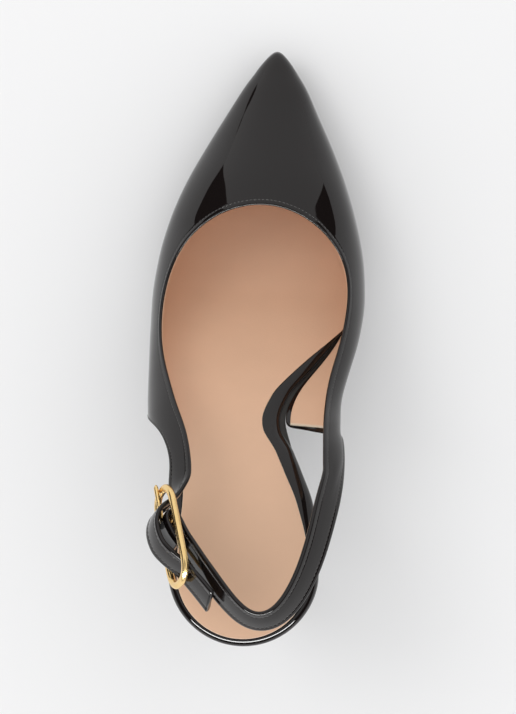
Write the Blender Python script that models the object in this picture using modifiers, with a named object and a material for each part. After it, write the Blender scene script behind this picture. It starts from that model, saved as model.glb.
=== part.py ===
"""Slingback pump for the left foot, as an assembly of solids.

+Y points to the toe, +X to the inner side of the foot and +Z up. The shoe stands on z = 0.
Lengths are metres. The tables hold shares of the named sizes, one row for each section.
"""

import math
from collections import namedtuple

import bmesh
import bpy
import numpy as np
from mathutils import Matrix

# The last and the shoe's outer sizes
SHOE_LENGTH = 0.230
BALL_WIDTH = 0.0848
HEEL_RISE = 0.0850
TOE_SPRING = 0.0062
INSTEP_HEIGHT = 0.0515
SEAT_ROUND = 0.0280
TOE_ROUND = 0.0080
TOE_TUCK = 0.0026

# Sheets and clearances
WALL = 0.0018
SOLE_THICKNESS = 0.0030
SOLE_EDGE_IN = 0.0004
INSOLE_THICKNESS = 0.0048
INSOLE_ROUND = 0.0018
SOCK_THICKNESS = 0.0010
GAP = 0.0003
LAP_GAP = 0.0015
SLIVER = 0.00002

# The heel
HEEL_IN = 0.0010
HEEL_BREAST = 0.0500
TIP_BACK = 0.0100
TIP_LENGTH = 0.0125
TIP_WIDTH = 0.0125
TOP_PIECE_HEIGHT = 0.0055

# The straps and the buckle
STRAP_WIDTH = 0.0104
STRAP_THICKNESS = 0.0018
BUCKLE_LENGTH = 0.0385
BUCKLE_HEIGHT = 0.0190
BUCKLE_BAR = 0.0026
BUCKLE_ROUND = 0.0078
CENTRE_BAR = 0.0022
CENTRE_BAR_AT = 0.0055
BUCKLE_HEADING = math.radians(16.5)
BUCKLE_PITCH = math.radians(23.0)
BUCKLE_LEAN = math.radians(28.5)
PRONG = 0.0017
PRONG_SLOT = 0.0034

# The last's bottom. at: share of the shoe's length, from the back of the heel. heel and spring:
# shares of HEEL_RISE and TOE_SPRING. lateral and medial: half widths, shares of BALL_WIDTH.
Bottom = namedtuple("Bottom", "at heel spring lateral medial")
BOTTOM = (
    Bottom(0.000, 1.000, 0.00, 0.332, 0.332),
    Bottom(0.087, 0.965, 0.00, 0.334, 0.333),
    Bottom(0.174, 0.894, 0.00, 0.342, 0.318),
    Bottom(0.230, 0.818, 0.00, 0.348, 0.288),
    Bottom(0.283, 0.721, 0.00, 0.364, 0.224),
    Bottom(0.326, 0.627, 0.00, 0.374, 0.168),
    Bottom(0.365, 0.535, 0.00, 0.389, 0.138),
    Bottom(0.404, 0.435, 0.00, 0.412, 0.172),
    Bottom(0.443, 0.338, 0.00, 0.435, 0.254),
    Bottom(0.487, 0.235, 0.00, 0.460, 0.342),
    Bottom(0.535, 0.139, 0.00, 0.480, 0.400),
    Bottom(0.591, 0.052, 0.00, 0.483, 0.427),
    Bottom(0.643, 0.012, 0.00, 0.465, 0.416),
    Bottom(0.696, 0.000, 0.00, 0.430, 0.381),
    Bottom(0.761, 0.000, 0.00, 0.366, 0.326),
    Bottom(0.826, 0.000, 0.04, 0.283, 0.257),
    Bottom(0.891, 0.000, 0.27, 0.184, 0.172),
    Bottom(0.943, 0.000, 0.56, 0.108, 0.104),
    Bottom(1.000, 0.000, 1.00, 0.052, 0.052),
)

# The upper's outer form. lateral and medial: the widest half widths, shares of BALL_WIDTH.
# lateral_up and medial_up: height of the widest line over the bottom. lateral_crown and
# medial_crown: height of the arch that the side belongs to. All are shares of INSTEP_HEIGHT.
# ridge: how far the crown lies from the shoe's axis, share of BALL_WIDTH.
Form = namedtuple(
    "Form", "at lateral medial lateral_up medial_up lateral_crown medial_crown ridge")
FORM = (
    Form(0.240, 0.368, 0.425, 0.310, 0.520, 0.80, 0.90, 0.000),
    Form(0.270, 0.385, 0.426, 0.285, 0.520, 0.80, 0.90, 0.000),
    Form(0.290, 0.405, 0.426, 0.240, 0.515, 0.80, 0.90, 0.000),
    Form(0.325, 0.450, 0.416, 0.170, 0.490, 0.80, 0.89, 0.000),
    Form(0.361, 0.487, 0.395, 0.130, 0.430, 0.80, 0.88, -0.006),
    Form(0.395, 0.499, 0.388, 0.140, 0.370, 0.81, 0.82, -0.014),
    Form(0.435, 0.509, 0.409, 0.160, 0.320, 0.82, 0.76, -0.022),
    Form(0.504, 0.524, 0.452, 0.180, 0.250, 0.91, 0.80, -0.026),
    Form(0.565, 0.530, 0.468, 0.200, 0.230, 0.97, 0.91, -0.028),
    Form(0.630, 0.512, 0.456, 0.200, 0.210, 0.97, 0.97, -0.028),
    Form(0.696, 0.468, 0.418, 0.190, 0.190, 0.90, 0.90, -0.026),
    Form(0.761, 0.402, 0.363, 0.170, 0.170, 0.80, 0.80, -0.020),
    Form(0.826, 0.315, 0.291, 0.145, 0.145, 0.64, 0.64, -0.012),
    Form(0.891, 0.218, 0.205, 0.120, 0.120, 0.455, 0.455, -0.005),
    Form(0.935, 0.149, 0.147, 0.100, 0.100, 0.340, 0.340, -0.002),
    Form(0.974, 0.090, 0.090, 0.080, 0.080, 0.235, 0.235, 0.000),
    Form(1.000, 0.056, 0.056, 0.070, 0.070, 0.170, 0.170, 0.000),
)

# The topline in plan, from the outer wing round the throat to the inner wing. at: share of the
# shoe's length. side: share of BALL_WIDTH, minus on the lateral side.
Edge = namedtuple("Edge", "at side")
TOPLINE = (
    Edge(0.235, -0.262),
    Edge(0.274, -0.242),
    Edge(0.310, -0.258),
    Edge(0.348, -0.292),
    Edge(0.385, -0.347),
    Edge(0.424, -0.396),
    Edge(0.463, -0.440),
    Edge(0.504, -0.464),
    Edge(0.546, -0.468),
    Edge(0.589, -0.454),
    Edge(0.632, -0.416),
    Edge(0.675, -0.336),
    Edge(0.712, -0.192),
    Edge(0.733, -0.030),
    Edge(0.719, 0.124),
    Edge(0.689, 0.262),
    Edge(0.647, 0.358),
    Edge(0.603, 0.396),
    Edge(0.561, 0.400),
    Edge(0.519, 0.388),
    Edge(0.476, 0.364),
    Edge(0.435, 0.338),
    Edge(0.395, 0.328),
    Edge(0.357, 0.330),
    Edge(0.315, 0.338),
    Edge(0.275, 0.345),
)

# Ribs of each wing's back edge, from the sole corner to the strap. low and top: shares of the
# shoe's length at the rib's foot and on the topline. level: where the foot lies on the section,
# 0 at the sole, 1 at the widest line and 2 on the topline.
Rib = namedtuple("Rib", "low level top")
LATERAL_WING = (
    Rib(0.274, 1.57, 0.269),
    Rib(0.288, 1.61, 0.283),
    Rib(0.308, 1.63, 0.303),
    Rib(0.326, 1.60, 0.322),
    Rib(0.341, 1.52, 0.340),
    Rib(0.350, 1.38, 0.355),
    Rib(0.356, 1.20, 0.368),
    Rib(0.360, 0.97, 0.380),
    Rib(0.362, 0.50, 0.392),
    Rib(0.363, 0.00, 0.402),
)
MEDIAL_WING = (
    Rib(0.300, 1.10, 0.290),
    Rib(0.316, 1.09, 0.306),
    Rib(0.330, 1.07, 0.322),
    Rib(0.341, 1.01, 0.338),
    Rib(0.348, 0.88, 0.353),
    Rib(0.352, 0.62, 0.368),
    Rib(0.354, 0.31, 0.383),
    Rib(0.355, 0.00, 0.398),
)
PARALLEL_RIBS = 6
VAMP_RIBS = 11
NOSE_RIBS = 5
TUCK_ROWS = 4
TOP_ROWS = 11
RADIAL_FROM = 0.609
RADIAL_SIDE = -0.024
TUCK_FLATNESS = 1.4
WING_STEP = 0.045

# How far the sock lies in from the insole's edge, in shares of INSTEP_HEIGHT
Inset = namedtuple("Inset", "at lateral medial")
SOCK_INSET = (
    Inset(0.000, 0.060, 0.060),
    Inset(0.150, 0.075, 0.075),
    Inset(0.240, 0.097, 0.118),
    Inset(0.330, 0.127, 0.130),
    Inset(0.430, 0.127, 0.130),
    Inset(0.500, 0.078, 0.078),
    Inset(0.560, 0.060, 0.060),
    Inset(1.000, 0.060, 0.060),
)

# The heel between its tip and its seat. height: share of the way up. length and width: shares of
# the seat's. back: share of the way from the tip's back to the seat's back.
Heel = namedtuple("Heel", "height length width back")
HEEL = (
    Heel(0.00, 0.000, 0.000, 0.00),
    Heel(0.15, 0.012, 0.012, 0.00),
    Heel(0.35, 0.045, 0.055, 0.05),
    Heel(0.52, 0.110, 0.130, 0.15),
    Heel(0.67, 0.220, 0.250, 0.32),
    Heel(0.80, 0.390, 0.430, 0.54),
    Heel(0.91, 0.650, 0.690, 0.79),
    Heel(1.00, 1.000, 1.000, 1.00),
)

# The sling strap's middle line from the inner wing round the heel. at: share of the shoe's
# length. side: share of BALL_WIDTH. rise: height over the bottom, share of INSTEP_HEIGHT. lean: how
# many degrees its upper edge tips inwards. turn: the heading of that inward side in plan.
Sling = namedtuple("Sling", "at side rise lean turn")
SLING = (
    Sling(0.261, 0.364, 0.645, 39.0, 182.0),
    Sling(0.204, 0.341, 0.664, 40.0, 190.0),
    Sling(0.148, 0.304, 0.668, 40.0, 200.0),
    Sling(0.100, 0.252, 0.683, 40.0, 222.0),
    Sling(0.064, 0.180, 0.702, 38.0, 245.0),
    Sling(0.055, 0.103, 0.707, 36.0, 268.0),
    Sling(0.062, 0.031, 0.708, 35.0, 294.0),
    Sling(0.083, -0.038, 0.690, 34.0, 312.0),
)
SLING_LAP = (0.346, 0.318, 0.290)
MEDIAL_STRAP_LEVEL = 1.64
TAIL_LAP = (0.318, 0.293, 0.264)
LATERAL_STRAP_LEVEL = 1.79
BUCKLE_SEAT = Sling(0.178, -0.302, 0.563, 0.0, 0.0)

# The straps inside the buckle, in metres from its middle: along its length to the toe, across
# its height, and out of its face.
Turn = namedtuple("Turn", "along across out")
SLING_LOOP = (
    Turn(-0.0214, 0.0060, -0.0118),
    Turn(-0.0160, 0.0038, -0.0082),
    Turn(-0.0110, 0.0016, -0.0042),
    Turn(-0.0055, 0.0008, -0.0010),
    Turn(0.0000, 0.0000, 0.0014),
    Turn(0.0050, 0.0000, 0.0025),
    Turn(0.0074, 0.0000, 0.0016),
    Turn(0.0081, 0.0000, 0.0000),
    Turn(0.0074, 0.0000, -0.0016),
    Turn(0.0050, 0.0000, -0.0025),
    Turn(-0.0005, 0.0002, -0.0036),
    Turn(-0.0060, 0.0010, -0.0066),
)
TAIL_TURNS = (
    Turn(0.0150, 0.0008, -0.0046),
    Turn(0.0128, 0.0004, -0.0022),
    Turn(0.0114, 0.0000, 0.0006),
    Turn(0.0088, 0.0000, 0.0043),
    Turn(0.0036, 0.0000, 0.0064),
    Turn(-0.0030, 0.0002, 0.0058),
    Turn(-0.0080, 0.0006, 0.0029),
    Turn(-0.0118, 0.0010, -0.0008),
    Turn(-0.0150, 0.0018, -0.0036),
    Turn(-0.0185, 0.0036, -0.0061),
    Turn(-0.0222, 0.0062, -0.0086),
)

BLACK_PATENT = (0.008, 0.008, 0.009, 1.0)
BLACK_RUBBER = (0.015, 0.015, 0.016, 1.0)
BLACK_SOLE = (0.020, 0.019, 0.019, 1.0)
TAN_LEATHER = (0.640, 0.400, 0.265, 1.0)
PALE_GOLD = (0.850, 0.640, 0.300, 1.0)

SIDE_SHIFT = (max(row.lateral for row in FORM) - max(row.medial for row in FORM)) / 2.0


# Curves through the tables
def column(rows, name):
    """One column of a table as an array."""
    return np.array([getattr(row, name) for row in rows])


def smooth(knots, values, at):
    """A cubic through the values that adds no bump between two knots."""
    steps = np.diff(knots)
    slopes = np.diff(values) / steps
    bends = np.zeros(len(knots))
    same = slopes[:-1] * slopes[1:] > 0.0
    mean = 2.0 * slopes[:-1] * slopes[1:] / np.where(same, slopes[:-1] + slopes[1:], 1.0)
    bends[1:-1] = np.where(same, mean, 0.0)
    bends[0] = slopes[0]
    bends[-1] = slopes[-1]
    at = np.clip(at, knots[0], knots[-1])
    left = np.clip(np.searchsorted(knots, at, side="right") - 1, 0, len(steps) - 1)
    part = (at - knots[left]) / steps[left]
    start = values[left] * (1 + 2 * part) * (1 - part) ** 2
    end = values[left + 1] * (3 - 2 * part) * part**2
    lean_in = bends[left] * part * (1 - part) ** 2
    lean_out = bends[left + 1] * part**2 * (part - 1)
    return start + end + steps[left] * (lean_in + lean_out)


def table(rows, name, at):
    """A column read between its rows, at a share of the shoe's length."""
    return smooth(column(rows, "at"), column(rows, name), np.asarray(at, dtype=float))


def spline(points, count):
    """A smooth curve through points, evenly sampled along its length."""
    points = np.asarray(points, dtype=float)
    padded = np.vstack((2 * points[0] - points[1], points, 2 * points[-1] - points[-2]))
    dense = []
    for first, second, third, fourth in zip(padded, padded[1:], padded[2:], padded[3:]):
        part = np.linspace(0.0, 1.0, 16, endpoint=False)[:, None]
        cubic = (3 * (second - third) + fourth - first) * part**3
        square = (2 * first - 5 * second + 4 * third - fourth) * part**2
        dense.append(second + 0.5 * (cubic + square + (third - first) * part))
    dense = np.vstack(dense + [points[-1:]])
    length = np.concatenate(([0.0], np.cumsum(np.linalg.norm(np.diff(dense, axis=0), axis=1))))
    wanted = np.linspace(0.0, length[-1], count)
    return np.stack([np.interp(wanted, length, dense[:, axis]) for axis in range(3)], axis=1)


# The last's bottom
def bottom_height(at):
    """Height of the upper face of the outsole at a share of the length."""
    heel = HEEL_RISE * table(BOTTOM, "heel", at)
    return heel + TOE_SPRING * table(BOTTOM, "spring", at) + SOLE_THICKNESS


def nose(at, tip):
    """Share of the width that is left where the toe's round begins, down to 0 at the tip."""
    along = (np.asarray(at) * SHOE_LENGTH - (tip - TOE_ROUND)) / TOE_ROUND
    return np.sqrt(np.clip(1.0 - np.clip(along, 0.0, 1.0) ** 2, 0.0, 1.0))


def seat(at):
    """Share of the width at the back of the heel, 0 at its end."""
    along = np.clip((SEAT_ROUND - np.asarray(at) * SHOE_LENGTH) / SEAT_ROUND, 0.0, 1.0)
    return np.sqrt(1.0 - along**2)


def bottom_width(at, side):
    """Half width of the bottom on one side, closed by the seat and the toe."""
    width = BALL_WIDTH * table(BOTTOM, side, at)
    return width * seat(at) * nose(at, SHOE_LENGTH - TOE_TUCK)


def form_width(at, side):
    """Half width of the upper at its widest line."""
    return BALL_WIDTH * table(FORM, side, at) * nose(at, SHOE_LENGTH)


def shoe_to_model(side, at, height):
    """Points in the model's frame from a distance to the side, a share of length and a height."""
    across = side + SIDE_SHIFT * BALL_WIDTH
    return np.stack(np.broadcast_arrays(across, (at - 0.5) * SHOE_LENGTH, height), axis=-1)


# The upper's surface
def crown_height(side, at):
    """Height of the upper over a point in plan: an arch between the two widest lines."""
    ridge = BALL_WIDTH * table(FORM, "ridge", at)
    outer = side < ridge
    width = np.where(outer, form_width(at, "lateral") + ridge, form_width(at, "medial") - ridge)
    share = np.clip(np.abs(side - ridge) / np.maximum(width, 1e-6), 0.0, 1.0)
    widest = np.where(outer, table(FORM, "lateral_up", at), table(FORM, "medial_up", at))
    crown = np.where(outer, table(FORM, "lateral_crown", at), table(FORM, "medial_crown", at))
    rise = (crown - widest) * nose(at, SHOE_LENGTH)
    return bottom_height(at) + INSTEP_HEIGHT * (widest + rise * np.sqrt(1.0 - share**2))


def widest_height(side, at):
    """Height of the widest line."""
    up = np.where(side < 0.0, table(FORM, "lateral_up", at), table(FORM, "medial_up", at))
    return bottom_height(at) + INSTEP_HEIGHT * up


def topline_curve():
    """The topline in plan, as many points (side, share of the length)."""
    rows = [(row.side * BALL_WIDTH, row.at * SHOE_LENGTH, 0.0) for row in TOPLINE]
    curve = spline(rows, 400)
    return curve[:, 0], curve[:, 1] / SHOE_LENGTH


def topline_side(at, outer):
    """How far to the side the topline lies, beside the foot's opening."""
    side, along = topline_curve()
    throat = np.argmax(along)
    if outer:
        return np.interp(at, along[:throat], side[:throat])
    return np.interp(at, along[:throat:-1], side[:throat:-1])


def topline_toward(side, at):
    """The topline's point on the line from the ribs' centre to a point of the outline."""
    edge_side, edge_at = topline_curve()
    edge_angle = np.arctan2(edge_side - RADIAL_SIDE * BALL_WIDTH, (edge_at - RADIAL_FROM) * SHOE_LENGTH)
    angle = math.atan2(side - RADIAL_SIDE * BALL_WIDTH, (at - RADIAL_FROM) * SHOE_LENGTH)
    ahead = edge_at >= RADIAL_FROM - 0.02
    return (np.interp(angle, edge_angle[ahead], edge_side[ahead]),
            np.interp(angle, edge_angle[ahead], edge_at[ahead]))


def section_point(sign, level, foot, widest, top):
    """A point of the section: a tuck from the sole to the widest line, then an arch to the top.

    foot, widest and top are (side, share of the length) of the rib's three knots.
    """
    if level <= 1.0:
        turn = level * math.pi / 2.0
        out = math.sin(turn) ** TUCK_FLATNESS
        down = math.cos(turn) ** TUCK_FLATNESS
        side = foot[0] + (widest[0] - foot[0]) * out
        along = foot[1] + (widest[1] - foot[1]) * out
        high = widest_height(sign, widest[1])
        low = bottom_height(foot[1]) + GAP
        return side, along, float(high - (high - low) * down)
    reach = 1.0 - math.cos((level - 1.0) * math.pi / 2.0)
    side = widest[0] + (top[0] - widest[0]) * reach
    along = widest[1] + (top[1] - widest[1]) * reach
    return side, along, float(crown_height(np.array(side), np.array(along)))


def knots_beside(at, sign):
    """A section's three knots where the ribs run straight across the shoe."""
    side = "lateral" if sign < 0 else "medial"
    foot = (sign * float(bottom_width(at, side)), at)
    widest = (sign * float(form_width(at, side)), at)
    top = (float(topline_side(at, sign < 0)), at)
    return foot, widest, top


def knots_ahead(at, sign):
    """A rib's three knots where the ribs fan out round the toe."""
    side = "lateral" if sign < 0 else "medial"
    start = 1.0 - TOE_ROUND / SHOE_LENGTH
    pull = TOE_TUCK / SHOE_LENGTH * min((at - RADIAL_FROM) / (start - RADIAL_FROM), 1.0)
    foot = (sign * float(bottom_width(at - pull, side)), at - pull)
    widest = (sign * float(form_width(at, side)), at)
    return foot, widest, topline_toward(*widest)


def rib_points(low, level, top_at, sign):
    """One rib of the upper from its foot to the topline, as (side, share, height)."""
    levels = [row / TUCK_ROWS for row in range(TUCK_ROWS)]
    levels += [1.0 + row / TOP_ROWS for row in range(TOP_ROWS + 1)]
    points = []
    for share in levels:
        here = level + (2.0 - level) * share / 2.0
        if low >= RADIAL_FROM:
            points.append(section_point(sign, here, *knots_ahead(low, sign)))
        else:
            at = low + (top_at - low) * share / 2.0
            points.append(section_point(sign, here, *knots_beside(at, sign)))
    return points


def side_ribs(wing, sign):
    """The ribs of one side, from the wing's end to the last rib before the toe's tip."""
    ribs = [(row.low, row.level, row.top) for row in wing]
    low_start, _, top_start = ribs[-1]
    for step in range(1, PARALLEL_RIBS + 1):
        share = step / (PARALLEL_RIBS + 1)
        low = low_start + (RADIAL_FROM - low_start) * share
        top = top_start + (RADIAL_FROM - top_start) * share
        ribs.append((low, 0.0, top))
    nose_start = 1.0 - TOE_ROUND / SHOE_LENGTH
    for step in range(VAMP_RIBS):
        low = RADIAL_FROM + (nose_start - RADIAL_FROM) * step / VAMP_RIBS
        ribs.append((low, 0.0, low))
    for step in range(NOSE_RIBS):
        turn = math.pi / 2.0 * step / NOSE_RIBS
        low = nose_start + TOE_ROUND / SHOE_LENGTH * math.sin(turn)
        ribs.append((low, 0.0, low))
    return [rib_points(low, level, top, sign) for low, level, top in ribs]


# Meshes and materials
def new_material(name, color, roughness, metallic=0.0, coat=0.0):
    """A Principled material for one piece."""
    material = bpy.data.materials.new(name)
    material.use_nodes = True
    shader = material.node_tree.nodes["Principled BSDF"]
    shader.inputs["Base Color"].default_value = color
    shader.inputs["Roughness"].default_value = roughness
    shader.inputs["Metallic"].default_value = metallic
    shader.inputs["Coat Weight"].default_value = coat
    return material


def add_object(name, data, collection, material, sharp=40.0):
    """A named object in a collection, with its material, shaded smooth between sharp edges."""
    piece = bpy.data.objects.new(name, data)
    collection.objects.link(piece)
    if material is not None:
        data.materials.append(material)
    if isinstance(data, bpy.types.Mesh):
        data.shade_smooth()
        data.set_sharp_from_angle(angle=math.radians(sharp))
    return piece


def closed_mesh(name, form):
    """The mesh of a closed form, with every face turned outwards."""
    bmesh.ops.recalc_face_normals(form, faces=form.faces)
    if form.calc_volume(signed=True) < 0.0:
        bmesh.ops.reverse_faces(form, faces=form.faces)
    mesh = bpy.data.meshes.new(name)
    form.to_mesh(mesh)
    form.free()
    return mesh


def loft_mesh(name, sections):
    """A closed tube of equal rings, with flat fans of faces over its ends."""
    form = bmesh.new()
    rings = [[form.verts.new(point) for point in ring] for ring in sections]
    for ring, following in zip(rings, rings[1:]):
        for index, vertex in enumerate(ring):
            after = (index + 1) % len(ring)
            form.faces.new((vertex, ring[after], following[after], following[index]))
    form.faces.new(rings[0][::-1])
    form.faces.new(rings[-1])
    return closed_mesh(name, form)


def plate_outline(stations, width):
    """Matching points down both sides of a plate in plan, and the points of its ends."""
    outer = np.stack((-width(stations, "lateral"), stations * SHOE_LENGTH), axis=1)
    inner = np.stack((width(stations, "medial"), stations * SHOE_LENGTH), axis=1)
    return outer, inner


def inset_sides(outer, inner, distance_outer, distance_inner):
    """Both sides of a plate moved in, square to its outline."""
    ring = np.vstack((outer, inner[::-1]))
    ahead = np.roll(ring, -1, axis=0) - np.roll(ring, 1, axis=0)
    ahead /= np.maximum(np.linalg.norm(ahead, axis=1, keepdims=True), 1e-9)
    inwards = np.stack((ahead[:, 1], -ahead[:, 0]), axis=1)
    distance = np.concatenate((distance_outer, distance_inner[::-1]))[:, None]
    moved = ring + inwards * distance
    return moved[:len(outer)], moved[len(outer):][::-1]


def plate_mesh(name, outer, inner, levels, under, across=6):
    """A plate that follows the last's bottom.

    outer and inner are matching points down its two sides, levels are rows of (inset, height)
    from its lower rim to its upper rim, and under gives its underside's height at a share.
    """
    form = bmesh.new()
    count = len(outer)
    rings = []
    for inset, height in levels:
        moved = inset_sides(outer, inner, np.full(count, inset), np.full(count, inset))
        ring = np.vstack((moved[0], moved[1][::-1]))
        at = ring[:, 1] / SHOE_LENGTH
        points = shoe_to_model(ring[:, 0], at, under(at) + height)
        rings.append([form.verts.new(point) for point in points])
    for ring, following in zip(rings, rings[1:]):
        for index, vertex in enumerate(ring):
            after = (index + 1) % len(ring)
            form.faces.new((vertex, ring[after], following[after], following[index]))
    for ring, height in ((rings[0], levels[0][1]), (rings[-1], levels[-1][1])):
        cap_plate(form, ring, count, height, under, across)
    return closed_mesh(name, form)


def cap_plate(form, ring, count, height, under, across):
    """Rows of faces between a plate's two sides."""
    rows = []
    for index in range(count):
        left = ring[index]
        right = ring[2 * count - 1 - index]
        row = [left]
        for step in range(1, across):
            point = left.co.lerp(right.co, step / across)
            point.z = float(under(point.y / SHOE_LENGTH + 0.5)) + height
            row.append(form.verts.new(point))
        rows.append(row + [right])
    for row, following in zip(rows, rows[1:]):
        for step in range(across):
            form.faces.new((row[step], row[step + 1], following[step + 1], following[step]))
    for row in (rows[0], rows[-1]):
        form.faces.new(row)


def ribbon_mesh(name, middle, up, width, thickness):
    """A strap with eased edges along a line, its width turned towards up."""
    ahead = np.gradient(middle, axis=0)
    ahead /= np.linalg.norm(ahead, axis=1, keepdims=True)
    up = up - ahead * np.sum(up * ahead, axis=1, keepdims=True)
    up /= np.linalg.norm(up, axis=1, keepdims=True)
    out = np.cross(ahead, up)
    ease = thickness / 4.0
    half = width / 2.0
    deep = thickness / 2.0
    corners = ((half, deep - ease), (half - ease, deep), (ease - half, deep), (-half, deep - ease),
               (-half, ease - deep), (ease - half, -deep), (half - ease, -deep), (half, ease - deep))
    rings = []
    for point, side, face in zip(middle, up, out):
        rings.append([point + side * across + face * lift for across, lift in corners])
    return loft_mesh(name, rings)


# The sole's pieces
def stations(start, end, count):
    """Shares of the length from start to end, closer together at the round ends."""
    turn = np.linspace(0.0, math.pi, count)
    return start + (end - start) * 0.5 * (1.0 - np.cos(turn))


def make_outsole(collection):
    """The outsole from the toe to the heel's breast."""
    breast = HEEL_BREAST / SHOE_LENGTH
    tip = 1.0 - (TOE_TUCK + SLIVER) / SHOE_LENGTH
    shares = breast + (tip - breast) * np.sin(np.linspace(0.0, math.pi / 2.0, 44))
    outer, inner = plate_outline(shares, bottom_width)
    depth = SOLE_THICKNESS
    ease = depth / 4.0
    levels = ((SOLE_EDGE_IN + 2 * ease, -depth), (SOLE_EDGE_IN, ease - depth), (SOLE_EDGE_IN, 0.0))
    mesh = plate_mesh("outsole", outer, inner, levels, bottom_height)
    return add_object("outsole", mesh, collection, new_material("sole", BLACK_SOLE, 0.45))


def insole_side(at, side):
    """Half width of the insole: the bottom's, and inside the upper's wall from the wings on."""
    wing = (LATERAL_WING if side == "lateral" else MEDIAL_WING)[-1].low
    inside = np.clip((at - wing + WING_STEP) / (WING_STEP - 0.006), 0.0, 1.0)
    inside = inside * inside * (3.0 - 2.0 * inside)
    return bottom_width(at, side) - inside * (WALL + 2.0 * GAP)


def insole_outline():
    """The insole's two sides in plan."""
    tip = 1.0 - (TOE_TUCK + WALL + 3.0 * GAP) / SHOE_LENGTH
    shares = stations(SLIVER / SHOE_LENGTH, tip, 50)
    outer, inner = plate_outline(shares, bottom_width)
    for side, points, sign in (("lateral", outer, -1.0), ("medial", inner, 1.0)):
        width = np.maximum(insole_side(shares, side), 0.0)
        ends = np.minimum(1.0, np.sqrt(np.clip((tip - shares) * SHOE_LENGTH / TOE_ROUND, 0, 1)))
        points[:, 0] = sign * np.maximum(width * ends, SLIVER)
    return outer, inner


def make_insole(collection):
    """The insole board wrapped in patent, with a rounded rim."""
    outer, inner = insole_outline()
    levels = [(0.0, GAP)]
    for step in range(5):
        turn = math.pi / 2.0 * step / 4
        inset = INSOLE_ROUND * (1.0 - math.cos(turn))
        levels.append((inset, GAP + INSOLE_THICKNESS - INSOLE_ROUND * (1.0 - math.sin(turn))))
    mesh = plate_mesh("insole", outer, inner, levels, bottom_height)
    return add_object("insole", mesh, collection, new_material("wrap", BLACK_PATENT, 0.12, 0.0, 1.0))


def make_sock(collection):
    """The tan sock on the insole, in from its rim."""
    outer, inner = insole_outline()
    shares = outer[:, 1] / SHOE_LENGTH
    keep = (shares > 0.0015) & (shares < 0.965)
    outer_in = INSTEP_HEIGHT * table(SOCK_INSET, "lateral", shares)
    inner_in = INSTEP_HEIGHT * table(SOCK_INSET, "medial", shares)
    outer, inner = inset_sides(outer, inner, outer_in, inner_in)
    outer = outer[keep]
    inner = inner[keep]
    base = INSOLE_THICKNESS + 2.0 * GAP
    levels = ((0.0, base), (0.0, base + SOCK_THICKNESS * 0.6),
              (SOCK_THICKNESS * 0.5, base + SOCK_THICKNESS))
    mesh = plate_mesh("sock", outer, inner, levels, bottom_height)
    return add_object("sock", mesh, collection, new_material("sock_leather", TAN_LEATHER, 0.5))


# The heel
def heel_ring(share, length, width, back):
    """One section of the heel: the seat's outline drawn in towards the tip."""
    last = (HEEL_BREAST - GAP) / SHOE_LENGTH
    shares = stations(SLIVER / SHOE_LENGTH, last, 13)
    outer, inner = plate_outline(shares, bottom_width)
    outer, inner = inset_sides(outer, inner, np.full(13, HEEL_IN), np.full(13, HEEL_IN))
    front = np.linspace(outer[-1], inner[-1], 5)[1:-1]
    ring = np.vstack((outer, front, inner[::-1]))
    seat_back = ring[:, 1].min()
    seat_length = ring[:, 1].max() - seat_back
    seat_width = ring[:, 0].max() - ring[:, 0].min()
    middle = (ring[:, 0].max() + ring[:, 0].min()) / 2.0
    new_length = TIP_LENGTH + (seat_length - TIP_LENGTH) * length
    new_width = TIP_WIDTH + (seat_width - TIP_WIDTH) * width
    new_back = TIP_BACK + (seat_back - TIP_BACK) * back
    top = bottom_height(ring[:, 1] / SHOE_LENGTH) - GAP
    side = middle + (ring[:, 0] - middle) * new_width / seat_width
    along = new_back + (ring[:, 1] - seat_back) * new_length / seat_length
    height = TOP_PIECE_HEIGHT + (top - TOP_PIECE_HEIGHT) * share
    return shoe_to_model(side, along / SHOE_LENGTH, height)


def make_heel(collection):
    """The slim covered heel under the seat."""
    rows = np.linspace(0.0, 1.0, 13)
    heights = column(HEEL, "height")
    sections = []
    for share in rows:
        values = [float(smooth(heights, column(HEEL, name), np.array(share)))
                  for name in ("length", "width", "back")]
        sections.append(heel_ring(share, *values))
    mesh = loft_mesh("heel", sections)
    return add_object("heel", mesh, collection, new_material("heel_cover", BLACK_PATENT, 0.12, 0.0, 1.0))


def make_top_piece(collection):
    """The wearing tip under the heel."""
    ring = heel_ring(0.0, 0.0, 0.0, 0.0)
    low = ring.copy()
    high = ring.copy()
    low[:, 2] = 0.0
    high[:, 2] = TOP_PIECE_HEIGHT - GAP
    mesh = loft_mesh("top_piece", [low, high])
    return add_object("top_piece", mesh, collection, new_material("tip_rubber", BLACK_RUBBER, 0.6))


# The upper and the straps
def make_upper(collection):
    """The hollow upper: one sheet from wing to wing round the toe, given its wall inwards."""
    outer_ribs = side_ribs(LATERAL_WING, -1.0)
    inner_ribs = side_ribs(MEDIAL_WING, 1.0)
    tip = rib_points(1.0, 0.0, 1.0, 1.0)
    ribs = outer_ribs + [tip] + inner_ribs[::-1]
    form = bmesh.new()
    grid = []
    for rib in ribs:
        side, at, height = np.array(rib).T
        grid.append([form.verts.new(point) for point in shoe_to_model(side, at, height)])
    for rib, following in zip(grid, grid[1:]):
        for low in range(len(rib) - 1):
            form.faces.new((rib[low], rib[low + 1], following[low + 1], following[low]))
    mesh = bpy.data.meshes.new("upper")
    form.to_mesh(mesh)
    form.free()
    piece = add_object("upper", mesh, collection, new_material("patent", BLACK_PATENT, 0.08, 0.0, 1.0))
    wall = piece.modifiers.new("wall", "SOLIDIFY")
    wall.thickness = WALL
    wall.offset = -1.0
    wall.use_even_offset = True
    return piece


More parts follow.
